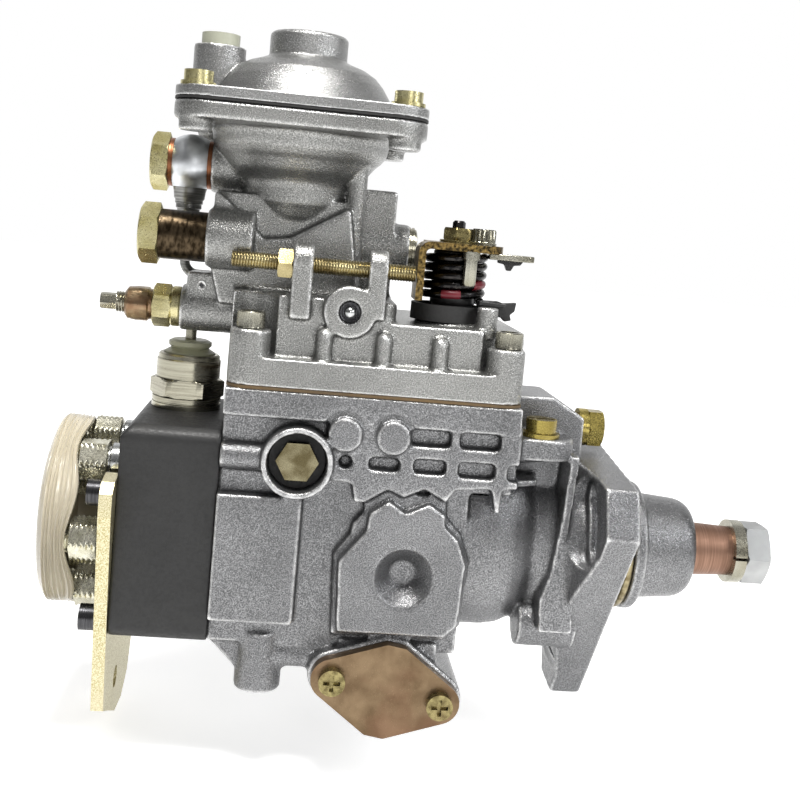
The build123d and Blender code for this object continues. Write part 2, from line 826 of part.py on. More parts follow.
def cover_castings():
    band_z0 = deck_top + gasket_t
    band_z1 = band_z0 + cover_flange_t
    body = rounded_plate(cover_x0, cover_x1, cover_half, band_z0, band_z1, 7)
    body += rounded_plate(cover_x0, shoulder_x, cover_body_half, band_z1, cover_top, 6)
    body += rounded_plate(shoulder_x - 12, cover_x1 + 0.5, cover_body_half, band_z1, shoulder_top, 6)
    for x, y in pillar_places():
        body -= rod_z(band_z1, cover_top + 1, pillar_r + pillar_moat, x, y)
    corner_posts = rounded_plate(cover_x0, cover_x1, cover_half, band_z0, pillar_top, 7)
    for x, y in pillar_places():
        body += corner_posts & rod_z(band_z0 + 1, pillar_top, pillar_r, x, y)
    for side in (-1, 1):
        for x in (-114, -93, -73):
            body += rod_z(band_z1 - 1, band_z1 + 9, 2.8, x, side * (cover_body_half + 2.0))
            body += Pos(x, side * (cover_body_half + 2.0), band_z1 + 9) * Sphere(2.8)
    return body


def cover_tower():
    """Tower that carries the capsule bowl, with a V-shaped shoulder in front."""
    foot_z = cover_top - 6
    tower = prism_y(
        [(tower_x0 + 4, foot_z), (tower_x0, cover_top + 8), (tower_x0, tower_top), (tower_x1, tower_top),
         (tower_x1 + 6, foot_z)],
        -tower_half, tower_half,
    )
    tower += prism_y(
        [(tower_x0 + 4, foot_z), (tower_x0, cover_top + 8), (tower_x0, 124), (-153, 121.6), (-138.3, 108.3),
         (-129, 109.5), (-110.5, 120.5), (tower_x1, 122), (tower_x1 + 6, foot_z)],
        -tower_front, tower_front,
    )
    tower += rod_z(cover_top - 2, 138, 3.6, tower_x1 + 2.0, -12)
    tower += bowl_outside()
    tower += capsule_square(split_z - lower_flange_t, split_z)
    for x, y in capsule_screw_places():
        tower += rod_z(split_z - lower_flange_t - 4.5, split_z - 1, 5.7, x, y)
    return tower


def cover_bosses():
    boss = rod_y(-cover_body_half - 3.5, -cover_body_half + 2, cover_boss_r, cover_boss_x, cover_boss_z)
    boss += rod_x(-167, -140, full_load_r, full_load_y, full_load_z)
    boss += slab(-165, -150, full_load_y - 7, full_load_y + 6, 82, 94.3)
    boss += rod_x(tower_x0 - 1.5, tower_x0 + 15, return_r + 1.5, return_y, return_z)
    boss += rod_x(banjo_face_x, tower_x0 + 18, banjo_r - 1.0, banjo_y, banjo_z)
    # posts of the long stop screw
    for x0, x1, low in ((-127.1, -119.8, cover_top - 8), (-100.5, -93.8, cover_top - 6)):
        boss += slab(x0, x1, stop_y - 6, stop_y + 7, low, stop_z)
        boss += rod_x(x0, x1, 6.4, stop_y, stop_z + 1)
    boss += rod_x(-112, -84, 10.0, 8.0, 108.0)
    boss += slab(-104, -90, -1, 15, cover_top - 2, 130)
    boss += rod_z(shoulder_top - 1, cup_floor, 13.0, lever_x, lever_y)
    boss += rod_z(shoulder_top - 3, cup_top + 0.8, 3.9, -56.3, -30)
    return boss


cup_floor = 84.5
banjo_face_x = -160.5


def governor_cover():
    body = cover_castings() + cover_tower() + cover_bosses()
    band_z0 = deck_top + gasket_t
    inner = cover_body_half - cover_wall - 1
    chamber = slab(cover_x0 + 6, shoulder_x, -inner, inner, band_z0 - 1, cover_top - cover_wall)
    chamber += slab(shoulder_x - 1, chamber_x1, -inner, inner, band_z0 - 1, shoulder_top - cover_wall)
    for x, y in pillar_places():
        chamber -= rod_z(band_z0 - 2, cover_top, pillar_r + pillar_moat + post_wall, x, y)
    body -= chamber
    body -= bowl_inside()
    body -= rod_z(cover_top - cover_wall - 2, bowl_floor_z + 1, boost_pin_r + run_gap, capsule_x, 0)
    body -= rod_z(shoulder_top - cover_wall - 1, cup_floor + 1, lever_shaft_r + run_gap, lever_x, lever_y)
    for x, y in pillar_places():
        body -= rod_z(band_z0 - 1, pillar_top + 1, m6_r, x, y)
    for x, y in capsule_screw_places():
        body -= rod_z(split_z - 9, split_z + 1, capsule_m_r, x, y)
    body -= rod_x(stop_tail_x, stop_tip_x, m6_r, stop_y, stop_z)
    body -= rod_x(-168, load_screw_x1, load_screw_r, full_load_y, full_load_z)
    body -= rod_x(tower_x0 - 3, tower_x0 + 8, 5.0, return_y, return_z)
    body -= rod_x(banjo_face_x - 3, banjo_face_x, banjo_washer_r + 0.5, banjo_y, banjo_z)
    body -= rod_x(banjo_face_x - 1, banjo_face_x + 12, 5.0, banjo_y, banjo_z)
    body -= rod_y(-cover_body_half - 5, -cover_body_half - 1, 3.8, cover_boss_x, cover_boss_z)
    body -= rod_x(tower_x0 - 1, tower_x0 + 6, pipe_r, banjo_y, pipe_low_z)
    return body


capsule_m_r = 2.5
stop_tail_x = -148.7


def cover_gasket():
    sheet = rounded_plate(cover_x0, cover_x1, cover_half, deck_top, deck_top + gasket_t, 7)
    sheet -= slab(cavity_x0, chamber_x1, -cavity_r, cavity_r, deck_top - 1, deck_top + gasket_t + 1)
    for x, y in pillar_places():
        sheet -= rod_z(deck_top - 1, deck_top + gasket_t + 1, m6_r, x, y)
    return sheet


def cover_screws():
    made = []
    for x, y in pillar_places():
        screw = rod_z(pillar_top, pillar_top + cap_screw_h, cap_screw_r, x, y)
        screw -= hex_z(pillar_top + cap_screw_h - 3, pillar_top + cap_screw_h + 1, 5.0, x, y)
        screw += rod_z(deck_top - 8, pillar_top, m6_r, x, y)
        made.append(screw)
    return solids(*made)


def ball_plug():
    y = -cover_body_half - 3.5
    plug = rod_y(y, y + 2.5, 3.8, cover_boss_x, cover_boss_z)
    return plug + Pos(cover_boss_x, y + 0.3, cover_boss_z) * Sphere(2.1)


# Boost capsule

def capsule_cover():
    z0 = split_z + diaphragm_t
    z1 = z0 + upper_flange_t
    lid = capsule_square(z0, z1)
    lid += turned_z(
        [(36, z1 - 1), (33.4, z1 + 1), (31.6, z1 + 4.5), (29, z1 + 8.5), (26, z1 + 11.8), (22, z1 + 14.2),
         (17.5, z1 + 15.7), (tube_r, z1 + 17), (tube_r, tube_top - 1), (tube_r - 1, tube_top)],
        capsule_x,
    )
    boss_x = capsule_x - boss_out
    lid += rod_z(z0, plug_boss_top, plug_boss_r, boss_x, 0)
    lid += slab(boss_x, capsule_x - 8, -3, 3, z0 + 1, z1 + 11)
    lid -= turned_z([(29, z0 - 1), (29, z1), (22, z1 + 7), (9, z1 + 12), (9, tube_top - 6)], capsule_x)
    for x, y in capsule_screw_places():
        lid -= rod_z(z0 - 1, z1 + 1, capsule_m_r, x, y)
        lid -= rod_z(z1, z1 + 8, 6.4, x, y)
    lid -= rod_z(plug_boss_top - 8, plug_boss_top + 1, plug_r - 2, boss_x, 0)
    return lid


def capsule_screws():
    made = []
    top = split_z + diaphragm_t + upper_flange_t
    for x, y in capsule_screw_places():
        screw = rod_z(top, top + 1.2, 6.0, x, y) + rod_z(top + 1.2, top + 5.0, 5.0, x, y)
        screw -= slab(x - 6, x + 6, y - 0.8, y + 0.8, top + 3.4, top + 6)
        screw += rod_z(split_z - 8, top, capsule_m_r, x, y)
        made.append(screw)
    return solids(*made)


def capsule_plug():
    x = capsule_x - boss_out
    plug = rod_z(plug_boss_top, plug_boss_top + plug_h, plug_r, x, 0)
    return plug + rod_z(plug_boss_top - 7, plug_boss_top, plug_r - 2, x, 0)


def diaphragm():
    """Rubber sheet clamped between the cover and the bowl; its middle moves with the plate."""
    sheet = capsule_square(split_z, split_z + diaphragm_t)
    sheet -= rod_z(split_z - 1, split_z + 2, plate_r + 1.5, capsule_x, 0)
    for x, y in capsule_screw_places():
        sheet -= rod_z(split_z - 1, split_z + 2, capsule_m_r, x, y)
    return sheet


def boost_pin():
    """Diaphragm plates with the control pin that slides down through the tower."""
    pin = rod_z(split_z - 1.5, split_z + 1.5, plate_r, capsule_x, 0)
    pin += rod_z(84, split_z, boost_pin_r, capsule_x, 0)
    notch = turned_z([(boost_pin_r + 1, 88), (boost_pin_r + 1, 100)], capsule_x)
    core = turned_z([(3.2, 88), (boost_pin_r - 0.3, 100)], capsule_x)
    return pin - (notch - core)


def helix_spring(radius, wire, height, turns, x, y, z):
    path = Helix(pitch=(height - 2 * wire) / turns, height=height - 2 * wire, radius=radius)
    section = Plane(origin=path @ 0, z_dir=path % 0) * Circle(wire)
    return Pos(x, y, z + wire) * sweep(section, path=path)


def boost_spring():
    low = bowl_floor_z + 0.3
    return helix_spring(10.0, 1.1, split_z - 1.8 - low, 5, capsule_x, 0, low)


# Side connections of the cover

def full_load_screw():
    screw = rod_x(load_screw_x0, load_screw_x1, load_screw_r, full_load_y, full_load_z)
    reach = load_screw_r + 1
    x0, x1 = load_screw_x0 - 1, load_screw_x0 + load_flat_l
    z0, z1 = full_load_z - reach, full_load_z + reach
    flats = slab(x0, x1, full_load_y - reach, full_load_y - load_flat_half, z0, z1)
    flats += slab(x0, x1, full_load_y + load_flat_half, full_load_y + reach, z0, z1)
    return screw - flats


def full_load_nut():
    nut = chamfered_hex_x(-177, -170, 14.0, full_load_y, full_load_z)
    nut += rod_x(-170, -167, 7.5, full_load_y, full_load_z)
    nut += rod_x(-187, -177, 6.4, full_load_y, full_load_z)
    return nut - rod_x(-190, -160, load_screw_r, full_load_y, full_load_z)


def return_bolt():
    bolt = chamfered_hex_x(-182, -175, 19.0, return_y, return_z)
    return bolt + rod_x(-175, tower_x0 + 8, 5.0, return_y, return_z)


def return_sleeve():
    sleeve = rod_x(-175, tower_x0 - 1.5, return_r, return_y, return_z)
    return sleeve - rod_x(-176, tower_x0, 5.0, return_y, return_z)


def banjo_bolt():
    bolt = chamfered_hex_x(-183, -176.5, 19.0, banjo_y, banjo_z)
    return bolt + rod_x(-176.5, banjo_face_x + 12, 5.0, banjo_y, banjo_z)


def banjo_fitting():
    """Ball shaped banjo with a tapered neck and a thin pipe down to the tower."""
    mid = (banjo_x0 + banjo_x1) / 2
    ball = Pos(mid, banjo_y, banjo_z) * Sphere(banjo_r) & slab(banjo_x0, banjo_x1, -30, 40, 100, 160)
    neck = turned_z([(4.0, banjo_z - 20), (5.6, banjo_z - 8)], mid, banjo_y)
    run = FilletPolyline((mid, banjo_z - 19), (mid, pipe_low_z), (tower_x0 + 5, pipe_low_z), radius=5)
    path = Plane.XZ.offset(-banjo_y) * run
    section = Plane(origin=path @ 0, z_dir=path % 0) * Circle(pipe_r)
    body = ball + neck + sweep(section, path=path)
    return body - rod_x(banjo_x0 - 1, banjo_x1 + 1, 5.0, banjo_y, banjo_z)


banjo_x0 = -175.0
banjo_x1 = -162.0


def copper_washers():
    made = []
    for x0, x1 in ((banjo_x0 - 1.5, banjo_x0), (banjo_x1, banjo_face_x)):
        made.append(rod_x(x0, x1, banjo_washer_r, banjo_y, banjo_z) - rod_x(x0 - 1, x1 + 1, 5.0, banjo_y, banjo_z))
    return solids(*made)


def stop_screw():
    return rod_x(stop_tail_x, stop_tip_x, m6_r, stop_y, stop_z)


def stop_screw_nut():
    x1 = -127.1
    nut = chamfered_hex_x(x1 - 5.2, x1, 10.0, stop_y, stop_z)
    return nut - rod_x(x1 - 6, x1 + 1, m6_r, stop_y, stop_z)


# Throttle lever, turning about a vertical shaft

def spring_cup():
    cup = rod_z(cup_floor, cup_top, cup_r, lever_x - 2, lever_y)
    cup -= rod_z(cup_floor + 2.5, cup_top + 1, cup_r - 1.6, lever_x - 2, lever_y)
    cup += rod_z(cup_floor, cup_top, 7.5, lever_x, lever_y)
    return cup - rod_z(cup_floor - 1, cup_top + 1, lever_shaft_r + run_gap, lever_x, lever_y)


def return_spring():
    low = cup_top + 0.3
    return helix_spring(spring_r, spring_wire, lever_plate_z - 0.3 - low, spring_turns, lever_x, lever_y, low)


def throttle_shaft():
    shaft = rod_z(68, 124.5, lever_shaft_r, lever_x, lever_y)
    shaft += rod_z(68, 71, 7.0, lever_x, lever_y)
    return shaft + rod_z(64, 69, 2.0, lever_x + 4.5, lever_y)


def bent_profile(x0, x1, low, top, t, bend):
    """Strip bent from upright to level, drawn in the X-Z plane."""
    turns = [180 - 90 * k / 5 for k in range(6)]
    outer = [polar(bend, a) for a in turns]
    inner = [polar(bend - t, a) for a in reversed(turns)]
    arc = [(x0 + bend + dx, top - bend + dz) for dx, dz in outer]
    back = [(x0 + bend + dx, top - bend + dz) for dx, dz in inner]
    return [(x0, low)] + arc + [(x1, top), (x1, top - t)] + back + [(x0 + t, low)]


def throttle_lever():
    """Pressed bracket: a top plate with one leg turned down against the stop screw."""
    z0, z1 = lever_plate_z, lever_plate_z + lever_plate_t
    x0 = lever_x - 15.5
    plate = slab(x0 + lever_bend, lever_x + 11, stop_y - 1.5, lever_y + 12, z0, z1)
    plate += rod_z(z0, z1, 8.0, lever_x + 9, lever_y)
    plate += prism_y(bent_profile(x0, x0 + 8, 92, z1, lever_plate_t, lever_bend), stop_y - 2.5, lever_y - 2)
    plate += rod_z(z1, z1 + 5.5, 3.5, lever_x + 9.5, lever_y)
    plate += rod_z(z0 - 11.5, z0 + 0.5, 1.9, lever_x + 3.6, lever_y - 14)
    plate -= rod_z(z1, z1 + 6, 6.0, lever_x, lever_y)
    return plate - rod_z(90, 130, lever_shaft_r, lever_x, lever_y)


def throttle_arm():
    z1 = lever_plate_z
    arm = slab(lever_x + spring_r + spring_wire + 0.3, lever_x + 29, lever_y - 5, lever_y + 5, z1 - 2.2, z1)
    return arm + rod_z(z1 - 6, z1 - 2, 3.2, lever_x + 23, lever_y)


def lever_nut():
    z0 = lever_plate_z + lever_plate_t
    nut = hex_z(z0, z0 + 5, 10.0, lever_x, lever_y, 15)
    return nut - rod_z(z0 - 1, z0 + 6, lever_shaft_r, lever_x, lever_y)


# Drive line inside

def drive_shaft():
    shaft = turned_x([(shaft_x0, shaft_r), (hub_exit_x + 1, shaft_r), (taper_end_x, taper_end_r)])
    shaft += rod_x(taper_end_x - 1, shaft_end_x, thread_r)
    for side in (-1, 1):
        shaft += slab(shaft_x0 - claw_l, shaft_x0, side * 8 - claw_half, side * 8 + claw_half, -6, 6)
    key = shaft_key()
    return shaft - key


def shaft_key():
    mid = hub_exit_x + 7.5
    return slab(mid - key_l / 2, mid + key_l / 2, 6.5, taper_end_r + 1.6, -key_w / 2, key_w / 2)


def shaft_nut():
    x0 = taper_end_x + washer_t
    nut = chamfered_hex_x(x0, x0 + nut_t, nut_af, 0, 0, 0)
    return nut - rod_x(x0 - 1, x0 + nut_t + 1, thread_r)


def spring_washer():
    x0 = taper_end_x
    ring = rod_x(x0, x0 + washer_t, washer_r) - rod_x(x0 - 1, x0 + washer_t + 1, thread_r)
    return ring - slab(x0 - 1, x0 + washer_t + 1, -washer_r - 1, 0, -0.6, 0.6)


def vane_rotor():
    rotor = rod_x(-38, -26, 18.0) - rod_x(-39, -25, shaft_r)
    made = [rotor]
    for k in range(4):
        blade = slab(-38, -26, 11.6, 18.8, -1.2, 1.2)
        blade = Rot(90 * k + 45, 0, 0) * blade
        made[0] = made[0] - blade
        made.append(blade)
    return solids(*made)


def vane_pump_ring():
    ring = rod_x(-38.2, -25.8, pump_bore_r)
    return ring - rod_x(-39, -25, 21.5, 0, -2.0)


def gear_outline(teeth, phase):
    pitch_r = tooth_module * teeth / 2
    tip_r = pitch_r + tooth_module
    root_r = pitch_r - 1.25 * tooth_module
    step = 360 / teeth
    points = []
    for k in range(teeth):
        a = phase + k * step
        points += [
            polar(root_r, a - 0.27 * step),
            polar(tip_r, a - 0.11 * step),
            polar(tip_r, a + 0.11 * step),
            polar(root_r, a + 0.27 * step),
        ]
    return points


def drive_gear():
    gear = prism_x(gear_outline(drive_teeth, 90), gear_x0, gear_x0 + gear_w)
    return gear - rod_x(gear_x0 - 1, gear_x0 + gear_w + 1, shaft_r)


def governor_cage():
    """Governor gear with the four-post cage that carries the flyweights."""
    gear = prism_x(gear_outline(governor_teeth, -90 + 180 / governor_teeth), gear_x0, gear_x0 + gear_w)
    x1 = gear_x0
    posts = rod_x(cage_x0 + 1, x1, cage_r) - rod_x(cage_x0 - 1, x1, cage_r - 2.5)
    for k in range(4):
        posts -= Rot(90 * k, 0, 0) * slab(cage_x0, x1 - 2, 4, 20, -5.0, 5.0)
    cage = Pos(0, 0, governor_z) * (gear + posts)
    return cage - rod_x(cage_x0 - 2, gear_x0 + gear_w + 1, governor_shaft_r + run_gap, 0, governor_z)


def flyweights():
    """Four weights lying in the cage's windows, each with a toe on the sleeve."""
    made = []
    for k in range(4):
        weight = slab(cage_x0 + 3, gear_x0 - 3, 7.6, 14.0, -4.6, 4.6)
        weight += slab(cage_x0 + 0.5, cage_x0 + 3, 5.0, 12.0, -2.5, 2.5)
        made.append(Pos(0, 0, governor_z) * Rot(90 * k, 0, 0) * weight)
    return solids(*made)


def governor_shaft():
    return rod_x(lever_face_x + sleeve_nose_l + 5, body_end_x, governor_shaft_r, 0, governor_z)


def sliding_sleeve():
    x0 = lever_face_x + 0.3
    x1 = x0 + sleeve_nose_l
    tube = rod_x(x0, x1, sleeve_nose_r, 0, governor_z) + rod_x(x1, sleeve_x1, sleeve_r, 0, governor_z)
    return tube - rod_x(x1 + 2.5, sleeve_x1 + 1, governor_shaft_r + run_gap, 0, governor_z)


def governor_lever():
    """Bar that turns on the pivot pins, moved by the sleeve and moving the spool."""
    bar = slab(pivot_x - lever_half_t, lever_face_x, -4, 4, 15, governor_z + 8)
    hub = rod_y(-pivot_hub_half, pivot_hub_half, 5.0, pivot_x, pivot_z)
    for side in (-1, 1):
        y0, y1 = sorted((side * (pivot_hub_half - 5.5), side * (pivot_hub_half + 1)))
        hub -= rod_y(y0, y1, pivot_pin_r + run_gap, pivot_x, pivot_z)
    return bar + hub + Pos(pivot_x, 0, spool_ball_z) * Sphere(2.4) + rod_z(spool_ball_z, 16, 1.4, pivot_x, 0)


spool_ball_z = 12.7


def control_spool():
    x0 = pivot_x - spool_w / 2
    spool = rod_x(x0, x0 + spool_w, spool_r)
    groove = rod_x(pivot_x - 2.9, pivot_x + 2.9, spool_r + 1) - rod_x(pivot_x - 3, pivot_x + 3, spool_r - 3.0)
    return spool - groove - rod_x(x0 - 1, x0 + spool_w + 1, plunger_r + run_gap)


def cam_disc():
    disc = rod_x(cam_x0, cam_x0 + cam_t, cam_r) + rod_x(cam_x0, shaft_x0 - 3.5, 13.0)
    disc -= rod_x(cam_x0 - 1, cam_x0 + 6, plunger_r)
    for side in (-1, 1):
        wide = claw_half + 0.2
        disc -= slab(shaft_x0 - claw_l - cam_stroke - 1, shaft_x0, side * 8 - wide, side * 8 + wide, -6.4, 6.4)
    return disc


def plunger():
    return rod_x(plunger_end_x, cam_x0 + 6, plunger_r)


def roller_ring():
    """Ring that carries the rollers and turns with the timing piston through its pin."""
    ring = rod_x(ring_x0, ring_x0 + ring_t, cavity_r - 0.06) - rod_x(ring_x0 - 1, ring_x0 + ring_t + 1, ring_in_r)
    rollers = []
    for k in range(4):
        turn = Rot(45 + 90 * k, 0, 0)
        roller = turn * Pos(ring_x0, 21.5, 0) * Rot(90, 0, 0) * Cylinder(4.0, 7.0)
        ring -= roller
        rollers.append(roller)
    pin = rod_z(timing_z - 3, -cavity_r + 4, 3.0, ring_x0 + 8, 0)
    return solids(ring + pin, *rollers)


def timing_piston():
    body = rod_y(-22, 22, timing_bore_r, timing_x, timing_z)
    body -= rod_z(timing_z - 5, timing_z + 20, 4.8, timing_x, 0)
    return body - rod_y(14, 23, 7.0, timing_x, timing_z)


nodes = {
    "governor_cover": governor_cover,
    "cover_gasket": cover_gasket,
    "cover_screws": cover_screws,
    "distributor_head": distributor_head,
    "head_screws": head_screws,
    "delivery_valve_holders": delivery_valve_holders,
    "head_plug": head_plug,
    "protective_cap": protective_cap,
    "rear_bracket": rear_bracket,
    "solenoid_body": solenoid_body,
    "solenoid_insulator": solenoid_insulator,
    "solenoid_terminal": solenoid_terminal,
    "shaft_bush": shaft_bush,
    "shaft_seal": shaft_seal,
    "pilot_ring": pilot_ring,
    "timing_covers": timing_covers,
    "timing_cover_screws": timing_cover_screws,
    "pivot_bolts": pivot_bolts,
    "inlet_plug": inlet_plug,
    "ear_screw": ear_screw,
    "ball_plug": ball_plug,
    "full_load_screw": full_load_screw,
    "full_load_nut": full_load_nut,
    "return_bolt": return_bolt,
    "return_sleeve": return_sleeve,
    "banjo_bolt": banjo_bolt,
    "banjo_fitting": banjo_fitting,
    "copper_washers": copper_washers,
    "stop_screw": stop_screw,
    "stop_screw_nut": stop_screw_nut,
    "capsule_cover": capsule_cover,
    "capsule_screws": capsule_screws,
    "capsule_plug": capsule_plug,
    "diaphragm": diaphragm,
    "boost_pin": boost_pin,
    "boost_spring": boost_spring,
    "spring_cup": spring_cup,
    "return_spring": return_spring,
    "throttle_shaft": throttle_shaft,
    "throttle_lever": throttle_lever,
    "throttle_arm": throttle_arm,
    "lever_nut": lever_nut,
    "drive_shaft": drive_shaft,
    "shaft_key": shaft_key,
    "shaft_nut": shaft_nut,
    "spring_washer": spring_washer,
    "vane_rotor": vane_rotor,
    "vane_pump_ring": vane_pump_ring,
    "drive_gear": drive_gear,
    "governor_cage": governor_cage,
    "flyweights": flyweights,
    "governor_shaft": governor_shaft,
    "sliding_sleeve": sliding_sleeve,
    "governor_lever": governor_lever,
    "control_spool": control_spool,
    "cam_disc": cam_disc,
    "plunger": plunger,
    "roller_ring": roller_ring,
    "timing_piston": timing_piston,
}


def build():
    made = {name: make() for name, make in nodes.items()}
    housing = pump_housing()
    for name in ("head_screws", "cover_screws", "ear_screw", "inlet_plug", "timing_cover_screws"):
        housing = housing - made[name]
    made["pump_housing"] = housing
    return made


for name, shape in build().items():
    export_step(shape, os.path.join("parts", name + ".step"))
    print(name, round(shape.volume))
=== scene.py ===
# %% [markdown]
# A rotary diesel injection pump, as it comes from the maker's bench: a grey
# sand-cast housing, a black distributor head, plated fittings and screws, and a
# round boost capsule on top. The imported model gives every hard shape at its
# real size. This lesson dresses it: the camera and the light come first, then
# the finishes, then the pieces that need more detail than the solids have.

# %% Load the frame
import bpy
import bmesh
import math
from mathutils import Matrix, Vector


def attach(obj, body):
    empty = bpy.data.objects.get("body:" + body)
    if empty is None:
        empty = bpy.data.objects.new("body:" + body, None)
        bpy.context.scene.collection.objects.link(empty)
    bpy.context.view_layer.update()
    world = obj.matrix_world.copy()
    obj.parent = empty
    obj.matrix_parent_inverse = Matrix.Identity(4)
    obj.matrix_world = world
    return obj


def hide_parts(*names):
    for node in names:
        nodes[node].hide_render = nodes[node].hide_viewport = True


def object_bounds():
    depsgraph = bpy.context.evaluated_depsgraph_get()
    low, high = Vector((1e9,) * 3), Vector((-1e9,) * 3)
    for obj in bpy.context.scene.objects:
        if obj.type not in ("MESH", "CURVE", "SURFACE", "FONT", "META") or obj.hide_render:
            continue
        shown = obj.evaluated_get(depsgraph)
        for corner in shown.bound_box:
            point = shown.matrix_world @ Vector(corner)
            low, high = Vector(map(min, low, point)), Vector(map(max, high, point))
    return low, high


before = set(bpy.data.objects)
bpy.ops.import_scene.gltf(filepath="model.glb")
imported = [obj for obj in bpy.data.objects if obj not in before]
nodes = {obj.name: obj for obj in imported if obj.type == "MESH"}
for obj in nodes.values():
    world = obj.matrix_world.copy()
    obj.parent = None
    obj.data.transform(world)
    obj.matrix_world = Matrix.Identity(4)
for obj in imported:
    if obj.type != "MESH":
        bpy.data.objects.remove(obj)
solid_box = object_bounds()
print("nodes:", len(nodes), "box:", [[round(c, 4) for c in corner] for corner in solid_box])

# %% [markdown]
# The camera stands in front of the lever side, a little to the left and above,
# and it is rolled by five degrees as the photograph is. Its three axes are
# written as the columns of a matrix, because a rolled view is easier to read
# from axes than from angles.

# %% Camera
view_right = Vector((0.9923, -0.0842, 0.0913))
view_up = Vector((-0.0825, 0.1031, 0.9912))
view_back = view_right.cross(view_up)
camera_place = Vector((-0.12335, -0.43871, 0.11845))

camera_data = bpy.data.cameras.new("camera")
camera_data.lens = 51.79
camera_data.sensor_width = 36.0
camera_data.shift_x = -0.00715
camera_data.shift_y = -0.0821
camera_data.clip_start = 0.01
camera = bpy.data.objects.new("camera", camera_data)
turn = Matrix((view_right, view_up, view_back)).transposed().to_4x4()
camera.matrix_world = Matrix.Translation(camera_place) @ turn
bpy.context.scene.collection.objects.link(camera)
bpy.context.scene.camera = camera
print("camera at", [round(c, 3) for c in camera_place])

# %% [markdown]
# Bare metal shows what stands around it, so a studio for metal needs a light
# side and a dark side. Here a sheet of white paper hangs behind the pump, and
# the rest of the room is dim, a little paler towards the ceiling. Dim walls are
# what gives each turned and cast edge its dark line.

# %% World
scene = bpy.context.scene
scene.view_settings.view_transform = "Standard"
world = bpy.data.worlds.new("studio")
world.use_nodes = True
scene.world = world
tree = world.node_tree
tree.nodes.clear()
towards = tree.nodes.new("ShaderNodeTexCoord").outputs["Generated"]
split = tree.nodes.new("ShaderNodeSeparateXYZ")
tree.links.new(towards, split.inputs[0])


def world_range(value, low, high, to_low, to_high):
    node = tree.nodes.new("ShaderNodeMapRange")
    node.interpolation_type = "SMOOTHSTEP"
    for label, number in (("From Min", low), ("From Max", high), ("To Min", to_low), ("To Max", to_high)):
        node.inputs[label].default_value = number
    tree.links.new(value, node.inputs["Value"])
    return node.outputs[0]


WALL_FOOT, CEILING = -0.35, 0.95
DIM_WALL, PALE_CEILING = 0.03, 0.26
PAPER_EDGE, PAPER_FULL = 0.36, 0.70
room_level = world_range(split.outputs["Z"], WALL_FOOT, CEILING, DIM_WALL, PALE_CEILING)
paper_share = world_range(split.outputs["Y"], PAPER_EDGE, PAPER_FULL, 0.0, 1.0)
blend = tree.nodes.new("ShaderNodeMix")
blend.data_type = "FLOAT"
blend.inputs[3].default_value = 1.0
tree.links.new(paper_share, blend.inputs[0])
tree.links.new(room_level, blend.inputs[2])
light = tree.nodes.new("ShaderNodeBackground")
tree.links.new(blend.outputs[0], light.inputs["Color"])
out = tree.nodes.new("ShaderNodeOutputWorld")
tree.links.new(light.outputs[0], out.inputs[0])
print("world nodes:", len(tree.nodes))

# %% [markdown]
# One lamp hangs above and a little in front, and gives the bright dome and deck.
# A weak one stands far behind the photographer, so that a flat face that looks at
# the camera isn't black. One from the right draws the nose and the flange.

# %% Lamps
pump_middle = Vector((-0.075, 0.0, 0.05))


def add_lamp(name, place, size, power, colour=(1, 1, 1)):
    data = bpy.data.lights.new(name, "AREA")
    data.shape = "RECTANGLE"
    data.size = size[0]
    data.size_y = size[1]
    data.energy = power
    data.color = colour
    lamp = bpy.data.objects.new(name, data)
    lamp.location = place
    lamp.rotation_euler = (pump_middle - Vector(place)).to_track_quat("-Z", "Y").to_euler()
    scene.collection.objects.link(lamp)


add_lamp("lamp_key", (-0.14, -0.26, 0.85), (0.26, 0.22), 9.4, (1.0, 0.985, 0.96))
add_lamp("lamp_front", (0.10, -1.00, 0.42), (0.30, 0.24), 1.5, (1.0, 0.99, 0.98))
add_lamp("lamp_right", (0.62, -0.42, 0.46), (0.20, 0.30), 3.4, (0.98, 0.99, 1.0))

# %% [markdown]
# The pump can't stand by itself, so white paper lies just under its lowest
# point, the foot of the rear bracket, and only catches a soft shadow.

# %% Floor
FLOOR_GAP = 0.004
floor_z = solid_box[0][2] - FLOOR_GAP
paper_half = 4
paper_corners = [(x * paper_half, y * paper_half, floor_z) for x, y in ((-1, -1), (1, -1), (1, 1), (-1, 1))]
floor_mesh = bpy.data.meshes.new("floor")
floor_mesh.from_pydata(paper_corners, [], [(0, 1, 2, 3)])
floor = bpy.data.objects.new("floor", floor_mesh)
scene.collection.objects.link(floor)
print("floor at", round(floor_z, 4))

# %% [markdown]
# The paper shines a little by itself, as paper that is lit from below does, and
# more so far away, so that it meets the white behind it without a line and still
# keeps the shadow near the pump. Rough surfaces don't see that glow, so the
# undersides of the castings stay dark.

# %% Glow of the paper
def bare_material(name):
    material = bpy.data.materials.new(name)
    material.use_nodes = True
    shader = material.node_tree.nodes["Principled BSDF"]
    return material, material.node_tree, shader


def add_math(tree, operation, a, b):
    node = tree.nodes.new("ShaderNodeMath")
    node.operation = operation
    for index, value in enumerate((a, b)):
        if isinstance(value, (int, float)):
            node.inputs[index].default_value = value
        else:
            tree.links.new(value, node.inputs[index])
    return node.outputs[0]


